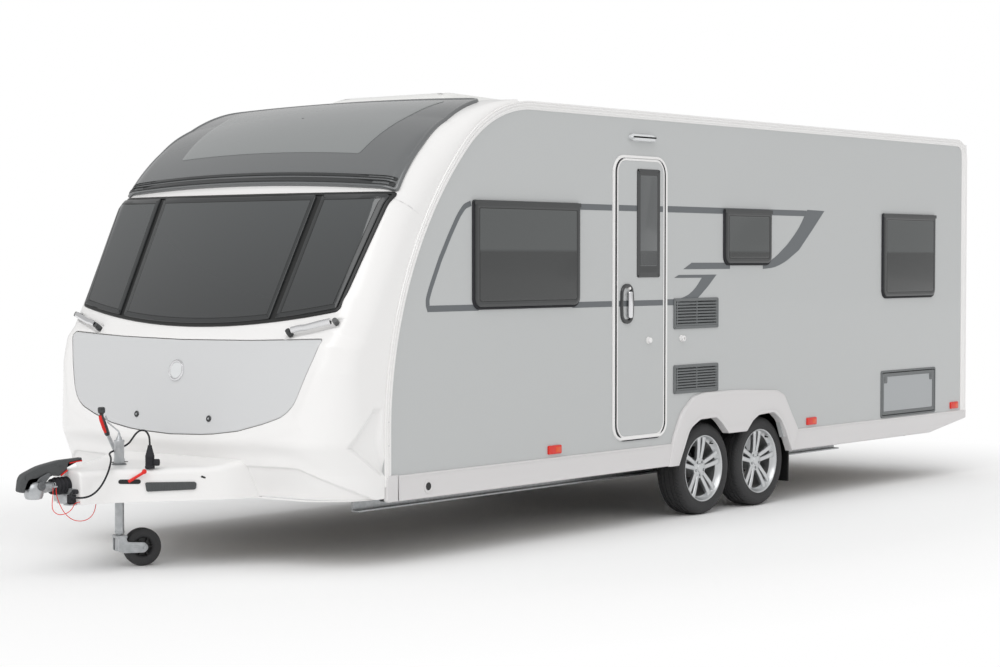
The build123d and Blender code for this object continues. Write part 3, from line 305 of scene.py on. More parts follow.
def bent(*corners: Corner) -> Array:
    """A closed line through corners in millimetres, each with the radius of its arc."""
    return rounded(mm(*corners))


def box_loop(low: Corner, high: Corner, radius: float = 0.0) -> Array:
    """A rounded rectangle between two corners."""
    (a, b), (c, d) = low, high
    return rounded([(a, b, radius), (c, b, radius), (c, d, radius), (a, d, radius)])


def disc_loop(centre: Corner, radius: float, count: int) -> Array:
    """A circle as points."""
    angle = np.linspace(0.0, math.tau, count, endpoint=False)
    return np.stack([centre[0] + radius * np.cos(angle), centre[1] + radius * np.sin(angle)], 1)


def ribbon(line: Array, width: float) -> Array:
    """The closed outline of a flat band of the given width along an open line.

    Args:
        line: Middle of the band.
        width: Width of the band.

    Returns:
        Closed outline of shape (2n, 2).
    """
    run = np.gradient(line, axis=0)
    across = np.stack([-run[:, 1], run[:, 0]], 1) / np.linalg.norm(run, axis=1)[:, None]
    return np.concatenate([line + across * width / 2.0, (line - across * width / 2.0)[::-1]])


def inward(loop: Array) -> Array:
    """For each point of a closed loop, the step that moves its two runs inwards by one unit.

    Args:
        loop: Closed outline of shape (n, 2).

    Returns:
        Steps of shape (n, 2), longer at a sharp corner.
    """
    area = np.sum(loop[:, 0] * np.roll(loop[:, 1], -1) - loop[:, 1] * np.roll(loop[:, 0], -1))
    run = np.roll(loop, -1, 0) - loop
    run /= np.maximum(np.linalg.norm(run, axis=1), 1e-9)[:, None]
    after = np.stack([-run[:, 1], run[:, 0]], 1) * (1.0 if area > 0 else -1.0)
    before = np.roll(after, 1, 0)
    joint = 1.0 + np.sum(after * before, axis=1)
    return (after + before) / np.maximum(joint, 0.25)[:, None]


def on_side(side: Side) -> Place:
    """Where (y, z, height) lies for a thing on a side wall, height counted outwards."""
    return lambda a, b, h: spot_of(side.value * (HALF + h), a, b)


def on_rear(a: Array, b: Array, h: Array) -> Array:
    """Where (x, z, height) lies for a thing on the rear wall."""
    return spot_of(a, REAR + h, b)


def on_level(a: Array, b: Array, h: Array) -> Array:
    """Where (x, y, height) lies for a thing standing up from the ground."""
    return spot_of(a, b, h)


def on_front(a: Array, b: Array, h: Array) -> Array:
    """Where (x, z, y) lies for a thing whose height is counted towards the hitch."""
    return spot_of(a, -h, b)


@dataclass
class Shape:
    """Surfaces gathered into one mesh.

    Attributes:
        points: Arrays of corner points, one for each surface.
        faces: Arrays of corner numbers, one row for each face.
    """

    points: list[Array] = field(default_factory=list)
    faces: list[Array] = field(default_factory=list)

    def put(self, points: Array, faces: Sequence[Array]) -> None:
        """Add points and the faces that number them from nought.

        Args:
            points: Corner points.
            faces: Arrays of corner numbers.
        """
        start = sum(len(p) for p in self.points)
        self.points.append(points.reshape(-1, 3))
        self.faces += [f + start for f in faces]

    def grid(self, rows: Array, wrap_rows: bool = False, wrap: bool = True) -> "Shape":
        """Add a net of four-sided faces.

        Args:
            rows: Points of shape (rows, columns, 3).
            wrap_rows: Whether the last row joins the first.
            wrap: Whether the last column joins the first.

        Returns:
            This shape.
        """
        high, wide = rows.shape[:2]
        r = np.arange(high if wrap_rows else high - 1)[:, None]
        c = np.arange(wide if wrap else wide - 1)[None]
        r2, c2 = (r + 1) % high, (c + 1) % wide
        quads = np.stack([r * wide + c, r * wide + c2, r2 * wide + c2, r2 * wide + c], -1)
        self.put(rows, [quads.reshape(-1, 4)])
        return self

    def cap(self, ring: Array) -> "Shape":
        """Add one flat many-sided face."""
        self.put(ring, [np.arange(len(ring))[None]])
        return self

    def rim(
        self,
        loop: Array,
        place: Place,
        profile: Sequence[Corner],
        cap: bool = True,
        back: bool = False,
        rings: int = 0,
        wrap: bool = True,
        inner: Optional[Array] = None,
    ) -> "Shape":
        """Carry a loop along a profile of (inset, height) steps.

        Args:
            loop: Closed outline, shape (n, 2).
            place: Maps outline coordinates and height into space.
            profile: Steps of (inset, height) from the outside in.
            cap: Whether the last ring is closed.
            back: Whether the first ring is closed.
            rings: Rings that shrink to the middle, for a curved face; nought for a flat one.
            wrap: Whether the run from the last point to the first is built.
            inner: Loop that the outline turns into at the deepest inset, in place of its own offset.

        Returns:
            This shape.
        """
        steps = np.array(profile, float)
        move = inward(loop) if inner is None else (inner - loop) / steps[:, 0].max()
        net = loop[None] + steps[:, 0, None, None] * move[None]
        height = np.repeat(steps[:, 1, None], len(loop), 1)
        if rings:
            middle = net[-1].mean(0)
            share = np.linspace(1.0, 0.01, rings + 1)[1:, None, None]
            net = np.concatenate([net, middle + (net[-1] - middle) * share])
            height = np.concatenate([height, np.full((rings, len(loop)), steps[-1, 1])])
        rows = place(net[..., 0], net[..., 1], height)
        self.grid(rows, wrap=wrap)
        if cap:
            self.cap(rows[-1])
        if back:
            self.cap(rows[0][::-1])
        return self

    def tube(self, path: Array, radius: object, sides: int, flat: float = 1.0) -> "Shape":
        """Carry a circle along a path in space.

        Args:
            path: Points of shape (n, 3).
            radius: One radius, or one for each point.
            sides: Corners of the circle.
            flat: Height of the section against its width.

        Returns:
            This shape.
        """
        path = np.asarray(path, float)
        run = np.gradient(path, axis=0)
        run /= np.linalg.norm(run, axis=1)[:, None]
        guide = np.array(UP if np.abs(run[:, 2]).max() < 0.92 else (0.31, 0.95, 0.0), float)
        wide = np.cross(run, guide)
        wide /= np.linalg.norm(wide, axis=1)[:, None]
        tall = np.cross(wide, run) * flat
        angle = np.linspace(0.0, math.tau, sides, endpoint=False)[None, :, None]
        reach = np.broadcast_to(np.asarray(radius, float), (len(path),))[:, None, None]
        rows = path[:, None] + reach * (np.cos(angle) * wide[:, None] + np.sin(angle) * tall[:, None])
        self.grid(rows)
        self.cap(rows[0][::-1])
        return self.cap(rows[-1])

    def lathe(self, profile: Sequence[Corner], centre: Corner, axis: Corner, steps: int) -> "Shape":
        """Turn a profile of (radius, reach along the axis) about an axis through centre.

        Args:
            profile: Section to turn.
            centre: Point on the axis.
            axis: Direction of the axis.
            steps: Corners of the circle.

        Returns:
            This shape.
        """
        ahead = np.array(axis, float) / np.linalg.norm(axis)
        guide = np.array(UP if abs(ahead[2]) < 0.9 else AHEAD, float)
        wide = np.cross(ahead, guide)
        wide /= np.linalg.norm(wide)
        tall = np.cross(wide, ahead)
        angle = np.linspace(0.0, math.tau, steps, endpoint=False)[None, :, None]
        line = np.array(profile, float)
        round_ = np.cos(angle) * wide + np.sin(angle) * tall
        rows = np.array(centre) + line[:, 0, None, None] * round_ + line[:, 1, None, None] * ahead
        self.grid(rows)
        if np.allclose(line[0], line[-1]):
            return self
        for end, ring in ((line[0], rows[0][::-1]), (line[-1], rows[-1])):
            if end[0] > 1e-5:
                self.cap(ring)
        return self

    def block(self, low: Corner, high: Corner, edge: float) -> "Shape":
        """Add a box with softened edges between two corners.

        Args:
            low: Lowest corner.
            high: Highest corner.
            edge: Radius of its edges.

        Returns:
            This shape.
        """
        loop = box_loop(low[:2], high[:2], edge)
        bottom, top, soft = low[2], high[2], 0.7 * edge
        steps = [(edge, bottom), (0.3 * edge, bottom + 0.3 * edge), (0.0, bottom + edge)]
        steps += [(0.0, top - edge), (edge - soft, top - 0.3 * edge), (edge, top)]
        return self.rim(loop, on_level, steps, back=True)

    def turned(self, centre: Corner, angle: float) -> "Shape":
        """Turn everything gathered so far about an upright line through centre.

        Args:
            centre: Point on the line.
            angle: Turn in radians.

        Returns:
            This shape.
        """
        c, s = math.cos(angle), math.sin(angle)
        spin = np.array([[c, -s, 0.0], [s, c, 0.0], [0.0, 0.0, 1.0]])
        middle = np.array(centre, float)
        self.points = [(p - middle) @ spin.T + middle for p in self.points]
        return self

    def make(
        self,
        name: str,
        look: Look,
        body: str = BODY,
        replaces: Sequence[str] = (),
        sharp: float = SHARP,
    ) -> bpy.types.Object:
        """Write the gathered surfaces as one object.

        Args:
            name: Name of the piece.
            look: Its finish.
            body: The CAD body it rides on.
            replaces: CAD nodes that it stands for.
            sharp: Angle above which an edge stays crisp.

        Returns:
            The new object.
        """
        points = np.concatenate(self.points)
        corners = np.concatenate([f.ravel() for f in self.faces])
        totals = np.concatenate([np.full(len(f), f.shape[1]) for f in self.faces])
        mesh = bpy.data.meshes.new(name)
        mesh.vertices.add(len(points))
        mesh.vertices.foreach_set("co", points.astype(np.float32).ravel())
        mesh.loops.add(len(corners))
        mesh.loops.foreach_set("vertex_index", corners.astype(np.int32))
        mesh.polygons.add(len(totals))
        mesh.polygons.foreach_set("loop_start", (np.cumsum(totals) - totals).astype(np.int32))
        mesh.update(calc_edges=True)
        mesh.validate()
        tidy = bmesh.new()
        tidy.from_mesh(mesh)
        bmesh.ops.remove_doubles(tidy, verts=tidy.verts, dist=2e-5)
        bmesh.ops.recalc_face_normals(tidy, faces=tidy.faces)
        tidy.to_mesh(mesh)
        tidy.free()
        mesh.shade_smooth()
        mesh.set_sharp_from_angle(angle=sharp)
        mesh.materials.append(look.material())
        piece = bpy.data.objects.new(name, mesh)
        bpy.context.scene.collection.objects.link(piece)
        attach(piece, body)
        if replaces:
            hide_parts(*replaces)
        return piece


def shapes(count: int) -> list[Shape]:
    """Fresh shapes to gather surfaces in."""
    return [Shape() for _ in range(count)]


def soft_edge(height: float, base: float, edge: float) -> list[Corner]:
    """A profile that rises from base to height and rolls over its edge."""
    return [(0.0, base), (0.0, height - edge), (0.3 * edge, height - 0.3 * edge), (edge, height)]


# ---- studio
@dataclass
class Studio:
    """Camera, soft light and pale ground.

    Attributes:
        spot: Place of the camera.
        pitch: Tilt of the camera from straight down, in degrees.
        heading: Turn of the camera about the upright, in degrees.
        lens: Focal length in millimetres.
    """

    spot: Corner = (8.7147, -10.9112, 1.6187)
    pitch: float = 88.025
    heading: float = 39.092
    lens: float = 78.2

    def camera(self) -> None:
        """Set the camera up."""
        data = bpy.data.cameras.new("camera")
        data.lens, data.sensor_width = self.lens, 36.0
        data.clip_end = 300.0
        camera = bpy.data.objects.new("camera", data)
        camera.location = self.spot
        camera.rotation_euler = (math.radians(self.pitch), 0.0, math.radians(self.heading))
        bpy.context.scene.collection.objects.link(camera)
        bpy.context.scene.camera = camera

    def light(self) -> None:
        """Set an even sky, a wide key light and a soft fill."""
        scene = bpy.context.scene
        scene.view_settings.view_transform = "Standard"
        world = bpy.data.worlds.new("sky")
        world.use_nodes = True
        nodes, join = world.node_tree.nodes, world.node_tree.links.new
        sky = fill(nodes["Background"], Color=PURE, Strength=0.6)
        white = fill(nodes.new("ShaderNodeBackground"), Color=PURE, Strength=1.0)
        seen, mix = nodes.new("ShaderNodeLightPath"), nodes.new("ShaderNodeMixShader")
        join(seen.outputs["Is Camera Ray"], mix.inputs[0])
        join(sky.outputs[0], mix.inputs[1])
        join(white.outputs[0], mix.inputs[2])
        join(mix.outputs[0], nodes["World Output"].inputs[0])
        scene.world = world
        self.sun("key", (0.2, -0.62, 0.76), 1.15, 50.0)
        self.sun("fill", (0.8, 0.3, 0.52), 0.35, 90.0)
        self.sun("front", (-0.1, -0.95, 0.12), 0.3, 70.0)

    def sun(self, name: str, away: Corner, power: float, spread: float) -> None:
        """Hang a soft distant light that shines from the direction away.

        Args:
            name: Name of the lamp.
            away: Direction from the object to the lamp.
            power: Strength.
            spread: Width in the sky, in degrees.
        """
        data = bpy.data.lights.new(name, "SUN")
        data.energy, data.angle = power, math.radians(spread)
        lamp = bpy.data.objects.new(name, data)
        lamp.rotation_euler = Vector(away).to_track_quat("Z", "Y").to_euler()
        bpy.context.scene.collection.objects.link(lamp)

    def ground(self) -> None:
        """Lay the pale floor, which turns into white light with the distance."""
        mesh, wide = bpy.data.meshes.new("ground"), 60.0
        corners = [(-wide, -wide, 0), (wide, -wide, 0), (wide, wide, 0), (-wide, wide, 0)]
        mesh.from_pydata(corners, [], [(0, 1, 2, 3)])
        floor = bpy.data.objects.new("ground", mesh)
        paint = bpy.data.materials.new("ground")
        paint.use_nodes = True
        nodes, join = paint.node_tree.nodes, paint.node_tree.links.new
        shader = fill(nodes["Principled BSDF"], Base_Color=PURE, Roughness=0.9, Specular_IOR_Level=0.1)
        spots, scale, reach, span, glow, mix = (
            nodes.new(f"ShaderNode{kind}")
            for kind in ("TexCoord", "VectorMath", "VectorMath", "MapRange", "Emission", "MixShader")
        )
        scale.operation, reach.operation = "MULTIPLY", "LENGTH"
        scale.inputs[1].default_value = (1.6, 1.0, 1.0)
        fill(span, From_Min=4.2, From_Max=6.6)
        join(spots.outputs["Object"], scale.inputs[0])
        join(scale.outputs[0], reach.inputs[0])
        join(reach.outputs["Value"], span.inputs["Value"])
        join(span.outputs[0], mix.inputs[0])
        join(shader.outputs[0], mix.inputs[1])
        join(glow.outputs[0], mix.inputs[2])
        join(mix.outputs[0], nodes["Material Output"].inputs[0])
        mesh.materials.append(paint)
        bpy.context.scene.collection.objects.link(floor)


# ---- cables
@dataclass
class Cables:
    """The parked electric cable and the two strands of the breakaway cable.

    Attributes:
        main: Corners of the electric cable, from its gland to the plug.
        pull: Corners of the breakaway cable, from the drawbar to its clip.
        tail: Corners of the loose end, from the clip back to the drawbar.
    """

    main: tuple[Corner, ...] = mm(
        (88, -3705.6, 432), (88, -3750, 432), (118, -3782, 420), (164, -3786, 412), (202, -3754, 412),
        (206, -3704, 424), (202, -3650, 458), (188, -3598, 510), (158, -3550, 556), (108, -3500, 582),
        (48, -3452, 592), (-12, -3410, 598), (-50, -3364, 604), (-46, -3308, 618), (-8, -3280, 642),
        (40, -3294, 676), (90, -3314, 706), (142, -3334, 724), (180, -3346, 728), (209, -3353, 727),
        (235, -3359, 712), (250, -3362, 686), (250, -3362, 656),
    )
    pull: tuple[Corner, ...] = mm(
        (112, -3606, 365), (114, -3612, 330), (120, -3650, 294), (122, -3706, 282), (114, -3764, 294),
        (98, -3804, 334), (80, -3820, 384), (68, -3828, 426), (68, -3828, 462),
    )
    tail: tuple[Corner, ...] = mm(
        (56, -3838, 462), (56, -3838, 424), (62, -3850, 382), (74, -3856, 346), (92, -3834, 324),
        (108, -3796, 328), (112, -3760, 350), (104, -3738, 380), (104, -3705.3, 380),
    )

    def cord(
        self, name: str, points: Sequence[Corner], size: float, look: Look, **facts: object,
    ) -> bpy.types.Object:
        """Args:
            name: Name of the piece and of the CAD node it stands for.
            points: Corners of its route.
            size: Diameter.
            look: Finish.
            **facts: Length, far end and the like; not used.

        Returns:
            The new curve.
        """
        curve = bpy.data.curves.new(name, "CURVE")
        curve.dimensions = "3D"
        curve.resolution_u = 12
        curve.bevel_depth = size / 2.0
        curve.bevel_resolution = 4
        curve.use_fill_caps = True
        line = curve.splines.new("NURBS")
        line.points.add(len(points) - 1)
        line.points.foreach_set("co", np.array([(*p, 1.0) for p in points]).ravel())
        line.order_u = 3
        line.use_endpoint_u = True
        curve.materials.append(look.material())
        piece = bpy.data.objects.new(name, curve)
        bpy.context.scene.collection.objects.link(piece)
        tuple(points[0])
        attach(piece, BODY)
        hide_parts(name.removesuffix("_seen"))
        return piece

    def build(self) -> None:
        """Lay the cords, the parked plug and the clip."""
        plug = self.plug()
        clip = self.clip()
        self.cord(
            "connecting_cable_seen", self.main, 0.01, Look.RUBBER,
            length=1.167, far_end="plug", stiffness="medium", lay="loose", with_pieces=[plug],
        )
        self.cord(
            "breakaway_cable_seen", self.pull, 0.004, Look.RED,
            length=0.394, far_end="fitting", stiffness="medium", lay="hanging", with_pieces=[clip],
        )
        self.cord(
            "breakaway_tail_seen", self.tail, 0.004, Look.RED,
            length=0.303, far_end="object", stiffness="medium", lay="hanging",
        )

    def plug(self) -> bpy.types.Object:
        """The parked plug: ribbed grip, strain relief and locking knob.

        Returns:
            The new piece.
        """
        x, y = 0.25, -3.362
        reach = np.linspace(0.0, 1.0, 29)
        grip = 0.0235 + 0.0012 * np.cos(reach * math.tau * 7.0)
        body = mm((0, 535), (24, 535), (25, 541), (25, 546))
        body += tuple(zip(grip, 0.549 + 0.048 * reach))
        body += mm((24, 600), (22, 606), (13, 640), (10, 655), (5.2, 656), (0, 656))
        shape = Shape().lathe(body, (x, y, 0.0), UP, 44)
        knob = mm((0, 22), (16, 22), (18, 26), (18, 46), (15, 50), (0, 50))
        shape.lathe(knob, (x, y, 0.566), (0.8, 0.6, 0.0), 28)
        return shape.make("cable_plug_seen", Look.RUBBER, replaces=["cable_plug"])

    def clip(self) -> bpy.types.Object:
        """The spring clip that holds the breakaway cable.

        Returns:
            The new piece.
        """
        shape = Shape().block((0.05, -3.844, 0.462), (0.074, -3.822, 0.47), 0.002)
        angle = np.linspace(0.0, math.tau, 40)
        ring = np.stack(
            [0.062 + 0.009 * np.cos(angle), 0 * angle - 3.833, 0.478 + 0.009 * np.sin(angle)], 1,
        )
        shape.tube(ring, 0.0018, 10)
        return shape.make("breakaway_clip_seen", Look.ZINC, replaces=["breakaway_clip"])


# ---- front skin
def wall_arcs(low: int, high: int) -> list[Array]:
    """The two arcs of the side wall's front edge, in y and z: a wide one, then a tight one to the roof.

    Args:
        low: Points on the wide arc, whose middle lies NOSE_RADIUS behind the nose.
        high: Points on the tight arc, which leads on at 45 degrees and ends level with the roof.

    Returns:
        The lines of both arcs, from the bottom upwards.
    """
    turn = math.pi / 4.0
    angle = np.linspace(0.0, turn, low)
    middle_y, middle_z = NOSE_MIDDLE
    nose = np.stack([middle_y - NOSE_RADIUS * np.cos(angle), middle_z + NOSE_RADIUS * np.sin(angle)], 1)
    size = (ROOF_TOP - nose[-1, 1]) / (1.0 - math.sin(turn))
    y, z = nose[-1, 0] + size * math.cos(turn), ROOF_TOP - size
    angle = np.linspace(turn, math.pi / 2.0, high)[1:]
    return [nose, np.stack([y - size * np.cos(angle), z + size * np.sin(angle)], 1)]


@dataclass
class FrontSkin:
    """The smooth outer surface of the moulded front.

    A middle section in y and z runs from the bumper's lip to the roof. At each level of the
    section a plan curve leads sideways: a shallow crown, a round corner, then a flat along the
    flank that ends on the wall's edge rail.

    Attributes:
        section: Corners of the middle section below the brow: y, z, radius.
        brow: Middle and radius of the brow's arc: y, z, radius.
        crown: How far the plan curve falls back at a reach of one metre.
    """

    section: tuple[Corner, ...] = mm(
        (-2925, 365), (-2963, 535, 20), (-3000, 655, 120), (-2945, 1020, 1200), (-2905, 1190, 50),
        (-2850, 1256, 30), (-2495, 1955, 20), (-2425, 2015, 40),
    )
    brow: Corner = (-1.45, 1.326, 1.194)
    crown: float = 0.057

    def __post_init__(self) -> None:
        """Work out the section, the lean of each level and the reach to the wall's edge."""
        by, bz, br = self.brow
        start = math.atan2(2.015 - bz, -2.425 - by)
        angle = np.linspace(start, math.pi / 2.0, 60)[1:]
        arc = np.stack([by + br * np.cos(angle), bz + br * np.sin(angle)], 1)
        line = np.concatenate([rounded(self.section, closed=False, turn=0.05), arc, [(-1.4, bz + br)]])
        reach = np.concatenate([[0.0], np.cumsum(np.linalg.norm(np.diff(line, axis=0), axis=1))])
        self.t = np.linspace(0.0, reach[-1], 1200)
        self.y = np.interp(self.t, reach, line[:, 0])
        self.z = np.interp(self.t, reach, line[:, 1])
        lean = np.interp(self.z, [0.365, 0.95, 1.3, 1.95, 2.1], [0.0, 0.0, 0.36, 0.52, 0.66])
        on_brow = np.arctan2(self.z - bz, -(self.y - by))
        lean = np.where(self.z > 2.1, on_brow, lean)
        width = 60
        padded = np.concatenate([np.full(width, lean[0]), lean, np.full(width, lean[-1])])
        self.lean = np.convolve(padded, np.ones(2 * width + 1) / (2 * width + 1), "valid")
        self.reach = self.wall_reach()
        self.fall = np.minimum(self.crown, 0.35 * self.reach)
        corner = np.interp(self.z, [0.5, 1.04], [0.29, 0.155])
        self.corner = np.minimum(corner, 0.96 * (self.reach - 1.3 * self.fall))

    def wall_reach(self) -> Array:
        """How far inwards each level goes before it meets the side wall's front edge.

        Returns:
            One reach for each level.
        """
        edge = np.concatenate([[(NOSE, 0.0)], *wall_arcs(200, 200), [(-0.5, ROOF_TOP)]])
        away = edge[None] - np.stack([self.y, self.z], 1)[:, None]
        into = np.stack([np.cos(self.lean), -np.sin(self.lean)], 1)[:, None]
        off = away[..., 0] * into[..., 1] - away[..., 1] * into[..., 0]
        flip = np.argmax(np.diff(np.sign(off), axis=1) != 0, axis=1)
        rows = np.arange(len(flip))
        before, after = off[rows, flip], off[rows, flip + 1]
        share = before / np.where(np.abs(before - after) < 1e-12, 1.0, before - after)
        run = np.sum(away * into, axis=2)
        return np.maximum(run[rows, flip] + share * (run[rows, flip + 1] - run[rows, flip]), 0.012)

    def at(self, values: Array, t: Array) -> Array:
        """One of the tables read at level t."""
        return np.interp(t, self.t, values)

    def level(self, z: object) -> Array:
        """The level of a height in the middle section."""
        return np.interp(z, self.z, self.t)

    def level_back(self, y: object) -> Array:
        """The level of a place along the roof."""
        return np.interp(y, self.y, self.t)

    def end(self, t: Array) -> Array:
        """Reach along the plan curve, from the middle to the wall's edge, at level t."""
        corner, fall = self.at(self.corner, t), self.at(self.fall, t)
        return HALF - corner + corner * math.pi / 2.0 + self.at(self.reach, t) - 1.3 * fall - corner

    def spot(self, s: Array, t: Array) -> Array:
        """The point at reach s along the plan curve of level t.

        Up to the corner the point moves sideways only and falls back with the square of that
        distance. Round the corner it follows a quarter circle, and then it runs straight back.

        Args:
            s: Reach along the plan curve.
            t: Level along the section.

        Returns:
            Points in space.
        """
        corner, fall = self.at(self.corner, t), self.at(self.fall, t)
        first, far = HALF - corner, np.abs(s)
        turn = np.clip((far - first) / corner, 0.0, math.pi / 2.0)
        x = np.where(far < first, far, first + corner * np.sin(turn))
        back = 1.3 * fall * (x / HALF) ** 2 + corner * (1.0 - np.cos(turn))
        back = back + np.maximum(far - first - corner * math.pi / 2.0, 0.0)
        lean = self.at(self.lean, t)
        y = self.at(self.y, t) + back * np.cos(lean)
        z = self.at(self.z, t) - back * np.sin(lean)
        return np.stack([np.sign(s) * x, y, z], -1)

    def normal(self, s: Array, t: Array) -> Array:
        """Unit vector pointing out of the surface, from four points round the spot.

        Args:
            s: Reach along the plan curve.
            t: Level along the section.

        Returns:
            Unit vectors.
        """
        step = 0.004
        along = self.spot(s + step, t) - self.spot(s - step, t)
        above, below = (self.spot(s, np.clip(t + d, 0, self.t[-1])) for d in (step, -step))
        out = np.cross(along, above - below)
        return out / np.maximum(np.linalg.norm(out, axis=-1), 1e-12)[..., None]

    def across(self, x: Array, t: Array) -> Array:
        """Reach along the plan curve at which it stands at x.

        Args:
            x: Distance from the middle.
            t: Level along the section.

        Returns:
            Reach along the plan curve.
        """
        corner = self.at(self.corner, t)
        first = HALF - corner
        turn = np.arcsin(np.clip((np.abs(x) - first) / corner, 0.0, 1.0))
        return np.sign(x) * np.where(np.abs(x) < first, np.abs(x), first + corner * turn)

    def find(self, x: Array, z: Array) -> tuple[Array, Array]:
        """Reach and level of the point that stands at x and z, by settling on the level.

        Args:
            x: Distance from the middle.
            z: Height.

        Returns:
            Reach and level.
        """
        t = self.level(z)
        for _ in range(8):
            s = self.across(x, t)
            t = self.level(z + self.at(self.z, t) - self.spot(s, t)[..., 2])
        return self.across(x, t), t

    def lift(self, s: Array, t: Array, h: Array) -> Array:
        """The point at s and t, moved out of the surface by h."""
        return self.spot(s, t) + self.normal(s, t) * np.asarray(h)[..., None]

    def place(self, a: Array, b: Array, h: Array) -> Array:
        """Where (x, z, height) lies on the front."""
        s, t = self.find(a, b)
        return self.lift(s, t, h)

    def place_level(self, a: Array, b: Array, h: Array) -> Array:
        """Where (x, level, height) lies on the front."""
        return self.lift(self.across(a, b), b, h)


def smooth(low: float, high: float, value: Array) -> Array:
    """A soft step from nought to one between low and high."""
    share = np.clip((value - low) / (high - low), 0.0, 1.0)
    return share * share * (3.0 - 2.0 * share)


def beside(corners: Sequence[Corner], a: Array, b: Array) -> Array:
    """Signed distance into a convex flat outline: positive inside, negative outside.

    Args:
        corners: Outline, turning to the left.
        a: First coordinate of the points.
        b: Second coordinate.

    Returns:
        Distance to the nearest side.
    """
    spots = np.array(corners, float)
    ends = np.roll(spots, -1, 0)
    run = ends - spots
    run /= np.linalg.norm(run, axis=1)[:, None]
    inside = np.full(np.shape(a), 9.0)
    for start, way in zip(spots, run):
        inside = np.minimum(inside, way[0] * (b - start[1]) - way[1] * (a - start[0]))
    return inside


SKIN = FrontSkin()


def smile(low: float, rise: float, reach: float, top: Corner, inner: float = 0.0) -> Array:
    """A pane's outline between inner and reach: a bottom that rises with the square of x, and a top.

    Args:
        low: Height of the bottom in the middle.
        rise: How much the bottom rises at one metre.
        reach: Half-width, or the far edge of a pane off the middle, at the bottom.
        top: Far x, near x and height of the top.
        inner: Near edge at the bottom; nought for a pane across the middle.

    Returns:
        Closed outline in x and z.
    """
    near = inner if inner else -reach
    x = np.linspace(near, reach, 40)
    bottom = [(v, low + rise * v * v) for v in x]
    far_top, near_top, height = top
    corners = [(*bottom[0], 0.018)] + bottom[1:-1] + [(*bottom[-1], 0.03)]
    corners += [(far_top, height, 0.02), (near_top, height, 0.012)]
    return dense(rounded(corners), 0.03)


